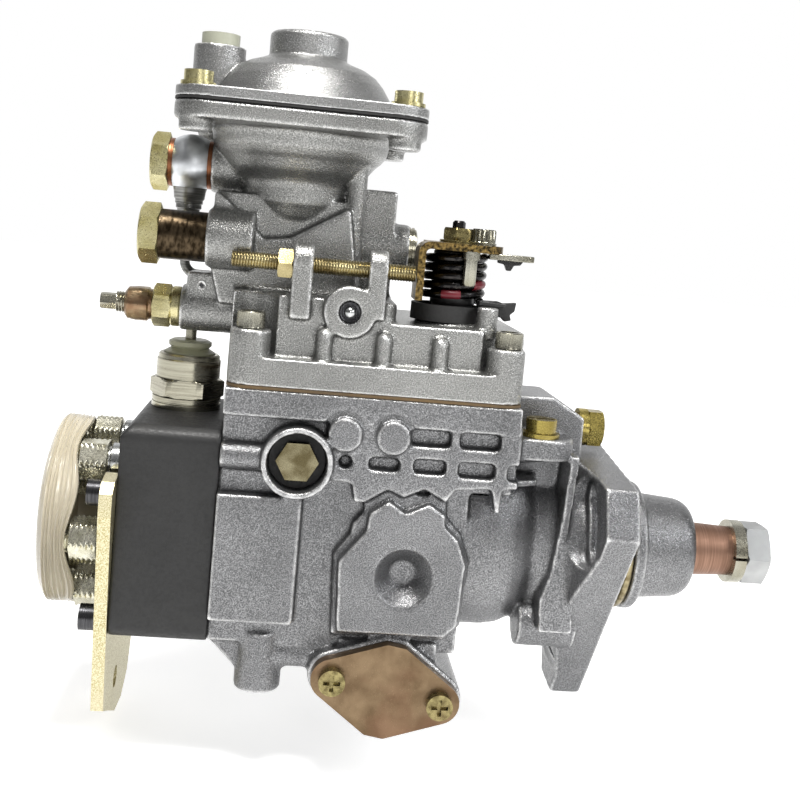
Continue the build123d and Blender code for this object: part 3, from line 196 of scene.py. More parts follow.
floor_finish, floor_tree, floor_shader = bare_material("white_paper")
floor_shader.inputs["Base Color"].default_value = (0.80, 0.80, 0.80, 1)
floor_shader.inputs["Roughness"].default_value = 1.0
floor_shader.inputs["Specular IOR Level"].default_value = 0.0
floor_shader.inputs["Emission Strength"].default_value = 1.0
floor_where = floor_tree.nodes.new("ShaderNodeTexCoord").outputs["Object"]
floor_reach = floor_tree.nodes.new("ShaderNodeVectorMath")
floor_reach.operation = "LENGTH"
floor_tree.links.new(floor_where, floor_reach.inputs[0])
floor_glow = floor_tree.nodes.new("ShaderNodeMapRange")
floor_glow.interpolation_type = "SMOOTHSTEP"
for label, number in (("From Min", 0.22), ("From Max", 0.90), ("To Min", 0.66), ("To Max", 1.0)):
    floor_glow.inputs[label].default_value = number
floor_tree.links.new(floor_reach.outputs["Value"], floor_glow.inputs["Value"])
ray = floor_tree.nodes.new("ShaderNodeLightPath")
seen = add_math(floor_tree, "MAXIMUM", ray.outputs["Is Camera Ray"], ray.outputs["Is Glossy Ray"])
seen = add_math(floor_tree, "MAXIMUM", seen, ray.outputs["Is Transmission Ray"])
shown_glow = add_math(floor_tree, "MULTIPLY", floor_glow.outputs[0], seen)
floor_tree.links.new(shown_glow, floor_shader.inputs["Emission Color"])
floor_mesh.materials.append(floor_finish)
print("paper nodes:", len(floor_tree.nodes))

# %% [markdown]
# Shader groups. A group is a small machine with named sockets that several
# finishes share. Each finish sets its own numbers on it, and the Principled
# shader stays outside, in the finish itself.

# %% A helper for groups
def start_group(name, inputs, outputs):
    """New shader group with float or colour sockets; gives the group and its two end nodes."""
    group = bpy.data.node_groups.new(name, "ShaderNodeTree")
    for label, kind, value in inputs:
        socket = group.interface.new_socket(name=label, in_out="INPUT", socket_type=kind)
        if value is not None:
            socket.default_value = value
    for label, kind in outputs:
        group.interface.new_socket(name=label, in_out="OUTPUT", socket_type=kind)
    return group, group.nodes.new("NodeGroupInput"), group.nodes.new("NodeGroupOutput")


def add_noise(tree, vector, scale, detail=4.0, rough=0.5):
    node = tree.nodes.new("ShaderNodeTexNoise")
    if isinstance(scale, (int, float)):
        node.inputs["Scale"].default_value = scale
    else:
        tree.links.new(scale, node.inputs["Scale"])
    node.inputs["Detail"].default_value = detail
    node.inputs["Roughness"].default_value = rough
    tree.links.new(vector, node.inputs["Vector"])
    return node.outputs["Fac"]


def add_range(tree, value, low, high, to_low=0.0, to_high=1.0):
    node = tree.nodes.new("ShaderNodeMapRange")
    node.clamp = True
    node.inputs["From Min"].default_value = low
    node.inputs["From Max"].default_value = high
    node.inputs["To Min"].default_value = to_low
    node.inputs["To Max"].default_value = to_high
    tree.links.new(value, node.inputs["Value"])
    return node.outputs[0]


def mix_colours(tree, amount, first, second):
    node = tree.nodes.new("ShaderNodeMix")
    node.data_type = "RGBA"
    for socket, value in ((node.inputs[0], amount), (node.inputs[6], first), (node.inputs[7], second)):
        if isinstance(value, (int, float)):
            socket.default_value = value
        elif isinstance(value, tuple):
            socket.default_value = (*value, 1.0)
        else:
            tree.links.new(value, socket)
    return node.outputs[2]


print("helpers ready")

# %% [markdown]
# Sand casting leaves a skin of small grains, because molten metal copies the
# sand. Two noises, one at the size of a grain and one of small lumps, are added
# for the height. The fine one also gives the sparkle of light and dark grains.

# %% Group: cast grain
cast_grain, ends_in, ends_out = start_group(
    "cast_grain",
    [("Grain Scale", "NodeSocketFloat", 1400.0), ("Lump Scale", "NodeSocketFloat", 260.0),
     ("Lump Share", "NodeSocketFloat", 0.5)],
    [("Height", "NodeSocketFloat"), ("Sparkle", "NodeSocketFloat"), ("Cloud", "NodeSocketFloat")],
)
where = cast_grain.nodes.new("ShaderNodeTexCoord").outputs["Object"]
grain = add_noise(cast_grain, where, ends_in.outputs["Grain Scale"], 3.0, 0.6)
lump = add_noise(cast_grain, where, ends_in.outputs["Lump Scale"], 3.0, 0.5)
lump_height = add_math(cast_grain, "MULTIPLY", lump, ends_in.outputs["Lump Share"])
height = add_math(cast_grain, "ADD", grain, lump_height)
cloud = add_noise(cast_grain, where, 38.0, 5.0, 0.6)
cast_grain.links.new(height, ends_out.inputs["Height"])
cast_grain.links.new(add_range(cast_grain, grain, 0.36, 0.66), ends_out.inputs["Sparkle"])
cast_grain.links.new(add_range(cast_grain, cloud, 0.32, 0.68), ends_out.inputs["Cloud"])
print("group:", cast_grain.name)

# %% [markdown]
# Edges rub bright in handling, and here that bright edge is also a painted
# highlight. Cycles knows how sharply a mesh bends at a point, which it calls
# pointiness, so a narrow band of it above the flat value is the worn and
# painted-highlight edge, and a band below it is the inner corner, darkened as
# painted shade.

# %% Group: edge wear with painted highlight and painted shade
painted_light_and_edge_wear, ends_in, ends_out = start_group(
    "painted_light_and_edge_wear",
    [("Break Up Scale", "NodeSocketFloat", 400.0)],
    [("Worn_And_Highlight", "NodeSocketFloat"), ("Painted_Corner_Shade", "NodeSocketFloat")],
)
bend = painted_light_and_edge_wear.nodes.new("ShaderNodeNewGeometry").outputs["Pointiness"]
where = painted_light_and_edge_wear.nodes.new("ShaderNodeTexCoord").outputs["Object"]
patches = add_noise(painted_light_and_edge_wear, where, ends_in.outputs["Break Up Scale"])
break_up = add_range(painted_light_and_edge_wear, patches, 0.35, 0.65, 0.35, 1.0)
# Above the flat value: worn edge and painted highlight. Below it: painted shade in the inner corners.
worn_and_highlight = add_math(painted_light_and_edge_wear, "MULTIPLY", add_range(painted_light_and_edge_wear, bend, 0.514, 0.552), break_up)
corner_shade = add_math(painted_light_and_edge_wear, "MULTIPLY", add_range(painted_light_and_edge_wear, bend, 0.489, 0.442), break_up)
painted_light_and_edge_wear.links.new(worn_and_highlight, ends_out.inputs["Worn_And_Highlight"])
painted_light_and_edge_wear.links.new(corner_shade, ends_out.inputs["Painted_Corner_Shade"])
print("group:", painted_light_and_edge_wear.name)

# %% [markdown]
# Yellow passivation is a thin film on zinc. Its colour drifts between straw,
# gold and a little rose or green, in soft patches of a few millimetres.

# %% Group: passivation
passivation, ends_in, ends_out = start_group(
    "passivation",
    [
        ("Straw", "NodeSocketColor", (0.72, 0.58, 0.27, 1)),
        ("Gold", "NodeSocketColor", (0.55, 0.38, 0.12, 1)),
        ("Rose", "NodeSocketColor", (0.50, 0.33, 0.24, 1)),
        ("Patch Scale", "NodeSocketFloat", 90.0),
    ],
    [("Color", "NodeSocketColor"), ("Fine", "NodeSocketFloat")],
)
where = passivation.nodes.new("ShaderNodeTexCoord").outputs["Object"]
patch = add_range(passivation, add_noise(passivation, where, ends_in.outputs["Patch Scale"], 4.0), 0.38, 0.62)
drift = add_range(passivation, add_noise(passivation, where, 47.0, 2.0), 0.52, 0.72, 0.0, 0.6)
fine = add_noise(passivation, where, 1900.0, 2.0)
film = mix_colours(passivation, patch, ends_in.outputs["Straw"], ends_in.outputs["Gold"])
film = mix_colours(passivation, drift, film, ends_in.outputs["Rose"])
passivation.links.new(film, ends_out.inputs["Color"])
passivation.links.new(fine, ends_out.inputs["Fine"])
print("group:", passivation.name)

# %% [markdown]
# Turned steel carries fine rings round its axis. Stretched noise does it: the
# coordinates are squeezed along the two axes across the lathe's axis, so the
# noise runs round, and the group has one socket for how strongly it stretches.

# %% Group: turned marks
turned_marks, ends_in, ends_out = start_group(
    "turned_marks",
    [("Along", "NodeSocketVector", (2600.0, 60.0, 60.0))],
    [("Height", "NodeSocketFloat"), ("Streak", "NodeSocketFloat")],
)
where = turned_marks.nodes.new("ShaderNodeTexCoord").outputs["Object"]
stretch = turned_marks.nodes.new("ShaderNodeVectorMath")
stretch.operation = "MULTIPLY"
turned_marks.links.new(where, stretch.inputs[0])
turned_marks.links.new(ends_in.outputs["Along"], stretch.inputs[1])
rings = add_noise(turned_marks, stretch.outputs[0], 1.0, 2.0)
turned_marks.links.new(rings, ends_out.inputs["Height"])
turned_marks.links.new(add_range(turned_marks, rings, 0.35, 0.65), ends_out.inputs["Streak"])
print("group:", turned_marks.name)

# %% [markdown]
# The finishes. Each is a function of a few plain numbers, so that the housing and
# the cover, which come from different moulds, can differ a little in tone.

# %% Finish: cast alloy
def place_group(tree, group, **values):
    node = tree.nodes.new("ShaderNodeGroup")
    node.node_tree = group
    for label, value in values.items():
        node.inputs[label.replace("_", " ")].default_value = value
    return node


def add_bump(tree, shader, height, strength, distance):
    bump = tree.nodes.new("ShaderNodeBump")
    bump.inputs["Strength"].default_value = strength
    bump.inputs["Distance"].default_value = distance
    tree.links.new(height, bump.inputs["Height"])
    tree.links.new(bump.outputs[0], shader.inputs["Normal"])


# The near-black tone goes into the inner corners as painted shade. The near-white tone goes on the outer edges
# as worn metal, and it also serves as a painted highlight.
CORNER_SHADE_SHARE, CORNER_SHADE_TONE = 0.97, (0.018, 0.017, 0.016)
RUBBED_HIGHLIGHT_SHARE, RUBBED_HIGHLIGHT_TONE = 0.95, (0.95, 0.95, 0.95)


def cast_alloy(name, dark, light, rough, grain_scale, bump):
    material, tree, shader = bare_material(name)
    skin = place_group(tree, cast_grain, Grain_Scale=grain_scale)
    edges = place_group(tree, painted_light_and_edge_wear)
    tone = mix_colours(tree, skin.outputs["Sparkle"], dark, light)
    shade = tuple(0.62 * c for c in dark)
    tone = mix_colours(tree, add_math(tree, "MULTIPLY", skin.outputs["Cloud"], 0.40), tone, shade)
    # These two mixes paint shade into the corners, then a highlight on the worn edges.
    tone = mix_colours(tree, add_math(tree, "MULTIPLY", edges.outputs["Painted_Corner_Shade"], CORNER_SHADE_SHARE), tone, CORNER_SHADE_TONE)
    tone = mix_colours(tree, add_math(tree, "MULTIPLY", edges.outputs["Worn_And_Highlight"], RUBBED_HIGHLIGHT_SHARE), tone, RUBBED_HIGHLIGHT_TONE)
    tree.links.new(tone, shader.inputs["Base Color"])
    shader.inputs["Metallic"].default_value = 0.80
    tree.links.new(add_range(tree, skin.outputs["Sparkle"], 0.0, 1.0, rough + 0.10, rough - 0.10),
                   shader.inputs["Roughness"])
    add_bump(tree, shader, skin.outputs["Height"], bump, 0.0004)
    return material


housing_alloy = cast_alloy("housing_alloy", (0.095, 0.096, 0.099), (0.37, 0.372, 0.38), 0.30, 2300.0, 0.5)
cover_alloy = cast_alloy("cover_alloy", (0.18, 0.182, 0.176), (0.47, 0.47, 0.455), 0.29, 2000.0, 0.5)
capsule_alloy = cast_alloy("capsule_alloy", (0.20, 0.202, 0.20), (0.46, 0.46, 0.455), 0.33, 2000.0, 0.5)
print("cast finishes ready")

# %% [markdown]
# Plated steel. Each kind of fitting came out of its own bath, so the yellow film
# is straw on one, olive or brown on another and nearly silver on the screws. One
# function takes the three colours of the film and how rough it is, and the patch
# scale says whether it drifts slowly or looks speckled.

# %% Finish: plated steel
def plated(name, straw, gold, rose, rough, patch=90.0):
    material, tree, shader = bare_material(name)
    film = place_group(tree, passivation, Straw=(*straw, 1), Gold=(*gold, 1), Rose=(*rose, 1),
                       Patch_Scale=patch)
    tree.links.new(film.outputs["Color"], shader.inputs["Base Color"])
    shader.inputs["Metallic"].default_value = 0.92
    tree.links.new(add_range(tree, film.outputs["Fine"], 0.3, 0.7, rough - 0.07, rough + 0.09),
                   shader.inputs["Roughness"])
    add_bump(tree, shader, film.outputs["Fine"], 0.18, 0.0002)
    return material


yellow_zinc = plated("yellow_zinc", (0.66, 0.61, 0.35), (0.44, 0.385, 0.16), (0.50, 0.45, 0.27), 0.30)
pale_zinc = plated("pale_zinc", (0.76, 0.74, 0.62), (0.52, 0.50, 0.38), (0.58, 0.55, 0.44), 0.28, 200.0)
speckled_zinc = plated("speckled_zinc", (0.72, 0.68, 0.48), (0.40, 0.34, 0.16), (0.58, 0.53, 0.38), 0.36,
                       2200.0)
olive_gold = plated("olive_gold", (0.30, 0.255, 0.115), (0.13, 0.105, 0.045), (0.20, 0.14, 0.075), 0.28,
                    420.0)
silver_zinc = plated("silver_zinc", (0.40, 0.39, 0.33), (0.25, 0.24, 0.185), (0.30, 0.275, 0.21), 0.26)
gold_plate = plated("gold_plate", (0.215, 0.150, 0.088), (0.125, 0.082, 0.045), (0.175, 0.088, 0.055), 0.34)
bright_gold = plated("bright_gold", (0.42, 0.34, 0.10), (0.22, 0.17, 0.035), (0.24, 0.19, 0.08), 0.26)
olive_zinc = plated("olive_zinc", (0.22, 0.195, 0.12), (0.10, 0.082, 0.040), (0.16, 0.125, 0.075), 0.28,
                    160.0)
brown_zinc = plated("brown_zinc", (0.30, 0.205, 0.07), (0.028, 0.021, 0.010), (0.10, 0.065, 0.03), 0.32,
                    760.0)
brass_screw = plated("brass_screw", (0.40, 0.34, 0.18), (0.22, 0.175, 0.08), (0.28, 0.22, 0.12), 0.28)
rust_zinc = plated("rust_zinc", (0.38, 0.33, 0.20), (0.17, 0.135, 0.07), (0.26, 0.13, 0.08), 0.34, 260.0)
print("plated finishes ready")

# %% [markdown]
# Bare steel, bronze and copper share the lathe's marks. A high number along one
# axis gives rings round that axis, and three equal numbers give an even mottle.

# %% Finish: bare steel and copper
def turned_metal(name, dark, light, rough, along=(2600.0, 60.0, 60.0), bump=0.12):
    material, tree, shader = bare_material(name)
    marks = place_group(tree, turned_marks, Along=along)
    tone = mix_colours(tree, marks.outputs["Streak"], dark, light)
    tree.links.new(tone, shader.inputs["Base Color"])
    shader.inputs["Metallic"].default_value = 1.0
    tree.links.new(add_range(tree, marks.outputs["Streak"], 0.0, 1.0, rough + 0.06, rough - 0.05),
                   shader.inputs["Roughness"])
    add_bump(tree, shader, marks.outputs["Height"], bump, 0.0002)
    return material


bright_steel = turned_metal("bright_steel", (0.42, 0.43, 0.43), (0.56, 0.57, 0.57), 0.24,
                            (900.0, 200.0, 200.0), 0.06)
upright_steel = turned_metal("upright_steel", (0.32, 0.30, 0.235), (0.40, 0.385, 0.305), 0.24,
                             (60.0, 60.0, 1500.0), 0.03)
ball_steel = turned_metal("ball_steel", (0.58, 0.60, 0.62), (0.68, 0.70, 0.72), 0.38, (300.0, 300.0, 300.0),
                          0.05)
neck_steel = turned_metal("neck_steel", (0.13, 0.13, 0.125), (0.26, 0.26, 0.25), 0.36, (80.0, 80.0, 1500.0),
                          0.12)
nut_steel = turned_metal("nut_steel", (0.33, 0.335, 0.335), (0.40, 0.405, 0.405), 0.34,
                         (120.0, 120.0, 120.0), 0.02)
dark_steel = turned_metal("dark_steel", (0.035, 0.035, 0.038), (0.10, 0.10, 0.105), 0.30)
spring_black = turned_metal("spring_black", (0.012, 0.012, 0.013), (0.045, 0.042, 0.040), 0.24,
                            (400.0, 400.0, 400.0))
copper_shaft = turned_metal("copper_shaft", (0.20, 0.115, 0.080), (0.29, 0.175, 0.125), 0.48)
dark_bronze = turned_metal("dark_bronze", (0.016, 0.011, 0.006), (0.085, 0.062, 0.038), 0.34,
                           (700.0, 330.0, 330.0), 0.35)
copper_seal = turned_metal("copper_seal", (0.17, 0.065, 0.03), (0.27, 0.12, 0.065), 0.38)
print("bare metals ready")

# %% [markdown]
# Plastic, rubber, paint and the gasket's sheet aren't metal. A soft cloud of a
# second tone and a fine grain are enough to keep them from looking flat.

# %% Finish: plastic, rubber and sheet
def dull_finish(name, base, spot, rough, grain=900.0, bump=0.25):
    material, tree, shader = bare_material(name)
    skin = place_group(tree, cast_grain, Grain_Scale=grain, Lump_Scale=180.0)
    tone = mix_colours(tree, add_math(tree, "MULTIPLY", skin.outputs["Cloud"], 0.6), base, spot)
    tree.links.new(tone, shader.inputs["Base Color"])
    tree.links.new(add_range(tree, skin.outputs["Sparkle"], 0.0, 1.0, rough + 0.08, rough - 0.08),
                   shader.inputs["Roughness"])
    add_bump(tree, shader, skin.outputs["Height"], bump, 0.0003)
    return material


black_head = dull_finish("black_head", (0.0085, 0.0087, 0.009), (0.022, 0.022, 0.022), 0.50, 800.0, 0.35)
black_rubber = dull_finish("black_rubber", (0.012, 0.012, 0.012), (0.022, 0.021, 0.020), 0.62)
black_plastic = dull_finish("black_plastic", (0.014, 0.014, 0.014), (0.022, 0.022, 0.022), 0.38)
cream_plastic = dull_finish("cream_plastic", (0.60, 0.55, 0.44), (0.50, 0.45, 0.34), 0.18, 500.0, 0.05)
pale_plastic = dull_finish("pale_plastic", (0.45, 0.46, 0.37), (0.38, 0.385, 0.30), 0.45, 500.0, 0.08)
olive_plastic = dull_finish("olive_plastic", (0.42, 0.42, 0.29), (0.30, 0.305, 0.21), 0.36)
gasket_sheet = dull_finish("gasket_sheet", (0.15, 0.095, 0.04), (0.07, 0.05, 0.028), 0.6)
red_paint = dull_finish("red_paint", (0.17, 0.008, 0.018), (0.10, 0.005, 0.01), 0.38)
print("dull finishes ready")

# %% [markdown]
# Every solid gets its finish, which is looked up by the solid's name. The shaft's
# key and what lies inside the pump aren't in the list and are plain bright steel.

# %% Dress the solids
finishes = {
    "pump_housing": housing_alloy, "governor_cover": cover_alloy, "capsule_cover": capsule_alloy,
    "cover_gasket": gasket_sheet, "distributor_head": black_head, "protective_cap": cream_plastic,
    "capsule_plug": pale_plastic, "rear_bracket": speckled_zinc, "timing_covers": gold_plate,
    "inlet_plug": bright_gold, "ear_screw": bright_gold, "delivery_valve_holders": yellow_zinc,
    "timing_cover_screws": olive_gold, "capsule_screws": yellow_zinc, "cover_screws": silver_zinc,
    "throttle_lever": brown_zinc, "lever_nut": bright_gold, "stop_screw": brass_screw,
    "stop_screw_nut": brass_screw, "full_load_screw": silver_zinc, "full_load_nut": yellow_zinc,
    "head_plug": olive_zinc, "pivot_bolts": olive_zinc, "spring_cup": black_rubber,
    "return_bolt": yellow_zinc, "banjo_bolt": yellow_zinc, "return_sleeve": dark_bronze,
    "banjo_fitting": bright_steel, "copper_washers": copper_seal, "ball_plug": bright_steel,
    "solenoid_body": upright_steel, "solenoid_insulator": olive_plastic, "solenoid_terminal": silver_zinc,
    "drive_shaft": copper_shaft, "shaft_nut": nut_steel, "spring_washer": silver_zinc,
    "shaft_bush": brass_screw, "shaft_seal": black_rubber, "pilot_ring": rust_zinc,
    "diaphragm": black_rubber, "return_spring": spring_black, "throttle_shaft": dark_steel,
    "throttle_arm": silver_zinc, "head_screws": dark_steel,
}
for name, solid in nodes.items():
    finish = finishes.get(name, bright_steel)
    solid.data.materials.clear()
    solid.data.materials.append(finish)
print("dressed:", len(nodes))

# %% [markdown]
# Small turned and pressed pieces also get a bevel modifier, because a real edge
# always has a tiny radius that catches the light. Where handling has rubbed the
# plating, the bevel's narrow faces get a paler finish of their own. This finish is
# partly rubbed plating and partly a painted highlight along the edge.

# %% Edge radii
def soften_edges(solid, width=0.00025, steps=2, worn_and_highlight=None):
    """Rounds the edges. With a rim finish, the narrow new faces get it, as a rubbed rim has; its paler tone is
    also a painted highlight on the edge.
    """
    bevel = solid.modifiers.new("edge_radius", "BEVEL")
    bevel.width = width
    bevel.segments = steps
    bevel.limit_method = "ANGLE"
    bevel.angle_limit = math.radians(35)
    bevel.use_clamp_overlap = True
    if worn_and_highlight:
        solid.data.materials.append(worn_and_highlight)
        bevel.material = len(solid.data.materials) - 1


# Paler rim finishes for the bevel faces: rubbed plating, and also a painted highlight along each edge.
rubbed_highlit_gold = plated("rubbed_highlit_gold", (0.66, 0.58, 0.33), (0.44, 0.36, 0.16), (0.50, 0.42, 0.25), 0.34, 500.0)
rubbed_highlit_steel = plated("rubbed_highlit_steel", (0.62, 0.61, 0.55), (0.44, 0.43, 0.38), (0.50, 0.48, 0.42), 0.32, 500.0)
worn_and_highlit_rims = {"timing_covers": rubbed_highlit_gold, "rear_bracket": rubbed_highlit_gold, "throttle_lever": rubbed_highlit_gold,
             "pivot_bolts": rubbed_highlit_gold, "stop_screw_nut": rubbed_highlit_gold, "inlet_plug": rubbed_highlit_gold,
             "ear_screw": rubbed_highlit_gold, "capsule_screws": rubbed_highlit_steel, "timing_cover_screws": rubbed_highlit_gold}
castings = ("pump_housing", "governor_cover", "capsule_cover", "distributor_head")
for name, solid in nodes.items():
    if name not in castings and name not in ("return_spring", "boost_spring", "diaphragm", "cover_gasket"):
        soften_edges(solid, worn_and_highlight=worn_and_highlit_rims.get(name))
print("edges softened")

# %% [markdown]
# A casting has no sharp edge at all: the mould's corners are rounded and the
# metal pulls back as it cools. A voxel remesh and a few rounds of smoothing
# give every inner and outer corner such a radius in one go. They are modifiers,
# so the solid itself stays as it is.

# %% Cast skins
def cast_skin(solid, voxel, rounds):
    remesh = solid.modifiers.new("mould_skin", "REMESH")
    remesh.mode = "VOXEL"
    remesh.voxel_size = voxel
    remesh.use_smooth_shade = True
    smooth = solid.modifiers.new("cast_radii", "SMOOTH")
    smooth.factor = 0.5
    smooth.iterations = rounds


coarse = 1.0
for name, voxel, rounds in (("pump_housing", 0.0007, 10), ("governor_cover", 0.0007, 9),
                            ("capsule_cover", 0.0005, 4), ("distributor_head", 0.0008, 4)):
    cast_skin(nodes[name], voxel * coarse, rounds)
print("cast skins on", castings)

# %% [markdown]
# Now the pieces that need more than the solids have. Nearly all of them come
# from a lathe, so one helper spins a profile round an axis. A profile is a list
# of rows, each a place along the axis and a radius. A bend function may change
# each point as it goes round, and that gives hexagons, threads and ribs from the
# same helper, without cutting one solid from another.

# %% A lathe for meshes
MM = 0.001
AXIS_FRAMES = {"X": ((1, 0, 0), (0, 1, 0), (0, 0, 1)), "Y": ((0, 1, 0), (0, 0, 1), (1, 0, 0)),
               "Z": ((0, 0, 1), (1, 0, 0), (0, 1, 0))}


def spin(shape, profile, at=(0, 0, 0), axis="X", steps=48, bend=None, material=0):
    """Adds a turned form to shape. Rows of radius 0 close it with a point."""
    along_axis, side_one, side_two = (Vector(v) for v in AXIS_FRAMES[axis])
    rows = []
    for along, radius in profile:
        row = []
        for k in range(steps if radius else 1):
            angle = 2 * math.pi * k / steps
            place, reach = bend(angle, along, radius) if bend and radius else (along, radius)
            outward = side_one * math.cos(angle) + side_two * math.sin(angle)
            row.append(shape.verts.new(Vector(at) + along_axis * place + reach * outward))
        rows.append(row)
    for first, second in zip(rows, rows[1:]):
        for k in range(steps):
            nearby = [first[k % len(first)], first[(k + 1) % len(first)], second[(k + 1) % len(second)],
                      second[k % len(second)]]
            corners = list(dict.fromkeys(nearby))
            if len(corners) > 2:
                shape.faces.new(corners).material_index = material


def finish_piece(name, shape, finish, body, stands_for=(), sharp=35, more_finishes=()):
    """Turns a shape in millimetres into a piece in metres that rides on a body."""
    bmesh.ops.scale(shape, vec=(MM, MM, MM), verts=shape.verts)
    bmesh.ops.recalc_face_normals(shape, faces=shape.faces)
    mesh = bpy.data.meshes.new(name)
    shape.to_mesh(mesh)
    shape.free()
    mesh.shade_smooth()
    mesh.set_sharp_from_angle(angle=math.radians(sharp))
    for item in (finish, *more_finishes):
        mesh.materials.append(item)
    piece = bpy.data.objects.new(name, mesh)
    scene.collection.objects.link(piece)
    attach(piece, body)
    if stands_for:
        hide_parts(*stands_for)
    print(name, "faces:", len(mesh.polygons))
    return piece


def hexagon(flats, turn=0.0):
    """Bend for a hexagon: a round edge stays where it lies inside the flats, which gives the chamfer."""
    def bend(angle, along, radius):
        from_corner = (angle - turn) % (math.pi / 3) - math.pi / 6
        return along, min(radius, flats / 2 / math.cos(from_corner))
    return bend


def thread(pitch, depth, then=None):
    """Bend for a screw thread: the radius falls and rises once a turn and once a pitch."""
    def bend(angle, along, radius):
        phase = (along / pitch - angle / (2 * math.pi)) % 1.0
        cut = radius - depth * abs(2 * phase - 1) ** 1.5
        return then(angle, along, cut) if then else (along, cut)
    return bend


def threaded_rows(low, high, radius, pitch, per_pitch=4):
    count = int((high - low) / pitch * per_pitch)
    return [(low + (high - low) * k / count, radius) for k in range(count + 1)]


# %% [markdown]
# The six delivery valve holders. Each is a hexagon whose corners still carry
# the thread it was cut from, so only the corners look toothed. A threaded
# rod that is bent into a hexagon gives that: the flats are cut below the thread.

# %% Delivery valve holders
HOLDER_COUNT, HOLDER_RING_R = 6, 28.5
FIRST_HOLDER_DEG = 127.0
TOOTH_PITCH = 1.9
holders = bmesh.new()
for k in range(HOLDER_COUNT):
    angle = math.radians(FIRST_HOLDER_DEG + 60 * k)
    y, z = HOLDER_RING_R * math.cos(angle), HOLDER_RING_R * math.sin(angle)
    toothed = thread(TOOTH_PITCH, 0.75, hexagon(13.9, 0.05 + 0.12 * k))
    body_rows = [(-198.2, 6.2), (-197.6, 7.9)]
    body_rows += threaded_rows(-197.4, -188.4, 8.0, TOOTH_PITCH, 6)
    body_rows += [(-188.2, 7.9), (-187.8, 6.4)]
    spin(holders, [(-206.0, 0)] + threaded_rows(-206.0, -198.2, 5.6, 1.5), (0, y, z), steps=36,
         bend=thread(1.5, 0.5))
    spin(holders, [(-198.2, 0)] + body_rows + [(-187.8, 0)], (0, y, z), steps=72, bend=toothed)
    neck_rows = [(-187.8, 0), (-187.8, 5.2), (-187.0, 5.2), (-187.0, 6.2), (-186.6, 6.6), (-182.6, 6.6),
                 (-182.2, 6.0), (-176.5, 6.0), (-176.5, 0)]
    spin(holders, neck_rows, (0, y, z), steps=36, material=1)
finish_piece("valve_holders", holders, pale_zinc, "housing", ["delivery_valve_holders"], 30,
             [bright_steel])

# %% [markdown]
# The cap over the holders is thin milky plastic with fine ribs round it, and
# its rim dips between the holders. Ribs are radius, the rim is place along the
# axis, and both are small waves in one bend function.

# %% Protective cap
RIB_PITCH, RIB_DEPTH = 1.15, 0.42
CAP_WALL_R = 31.0
RIM_START_X = -204.0


def cap_wave(angle, along, radius):
    on_wall = radius > CAP_WALL_R
    drift = 0.6 * math.sin(2 * angle + 0.7)
    rib = RIB_DEPTH * math.cos(2 * math.pi * along / RIB_PITCH + drift) if on_wall else 0.0
    rim = max(0.0, (along - RIM_START_X) / 6.0)
    lobe = 1.5 * math.cos(6 * (angle - math.radians(FIRST_HOLDER_DEG))) + 0.5 * math.sin(4 * angle + 1.0)
    sag = 0.35 * math.sin(5 * angle + 0.4) * on_wall
    return along - rim * (lobe - 1.3), radius + rib + sag


cap = bmesh.new()
outer = [(-209.6, 0), (-209.7, 15), (-209.8, 27), (-209.5, 31.2), (-208.8, 33.2), (-207.8, 34.4)]
outer += [(-207.6 + 0.25 * k, 34.7) for k in range(36)]
inner = [(-198.7, 34.1), (-200.5, 33.9), (-207.0, 33.7), (-208.6, 31.0), (-208.9, 26.0), (-208.9, 0)]
spin(cap, outer + inner, steps=144, bend=cap_wave)
finish_piece("holder_cap", cap, cream_plastic, "housing", ["protective_cap"], 60)

# %% [markdown]
# Threads on the two long screws. A coarse thread at the right pitch reads as a
# screw from far away, and shows its crests from near. The stop screw is brass
# yellow, and the full-load screw is grey with a chamfered brown collar.

# %% Stop screw and full-load screw
stop = bmesh.new()
stop_rows = [(-148.7, 0), (-148.6, 2.3)] + threaded_rows(-148.2, -83.9, 3.0, 1.0) + [(-83.8, 2.6), (-83.8, 0)]
spin(stop, stop_rows, (0, -33.0, 101.0), steps=24, bend=thread(1.0, 0.5))
finish_piece("stop_screw_thread", stop, brass_screw, "housing", ["stop_screw"], 60)

load = bmesh.new()
axis_place = (0, -10.0, 80.6)
square_end = [(-196.0, 0), (-196.0, 2.9), (-195.5, 3.5), (-190.4, 3.5), (-190.2, 3.2)]
spin(load, square_end, axis_place, steps=32, bend=hexagon(5.6, 0.2))
spin(load, [(-190.2, 0)] + threaded_rows(-190.2, -186.0, 3.9, 1.0), axis_place, steps=32,
     bend=thread(1.0, 0.45))
finish_piece("load_screw", load, silver_zinc, "housing", ["full_load_screw"], 30)

collar = bmesh.new()
brown_sleeve = [(-187.0, 0), (-187.0, 4.6), (-186.0, 5.9), (-183.0, 6.4), (-178.8, 6.4), (-178.3, 5.7),
                (-177.0, 5.4), (-177.0, 0)]
spin(collar, brown_sleeve, axis_place, steps=72, bend=hexagon(12.0, 0.1), material=1)
hex_nut = [(-177.0, 0), (-177.0, 6.7), (-176.7, 7.3), (-176.4, 7.97), (-170.9, 7.97), (-170.5, 7.2),
           (-170.2, 6.8), (-170.2, 0)]
spin(collar, hex_nut, axis_place, steps=72, bend=hexagon(13.8, 0.52))
spin(collar, [(-170.4, 0), (-170.4, 6.9), (-169.8, 7.4), (-167.4, 7.4), (-166.9, 7.0), (-166.9, 0)],
     axis_place, steps=48)
finish_piece("load_screw_nut", collar, yellow_zinc, "housing", ["full_load_nut"], 30,
             [rust_zinc])

# %% [markdown]
# The pivot bolts sit deep in round recesses on both sides. Each head gets its
# turned chamfer and lies on a black ring that fills the recess's floor. The ring
# is painted shade for the dark of the recess.

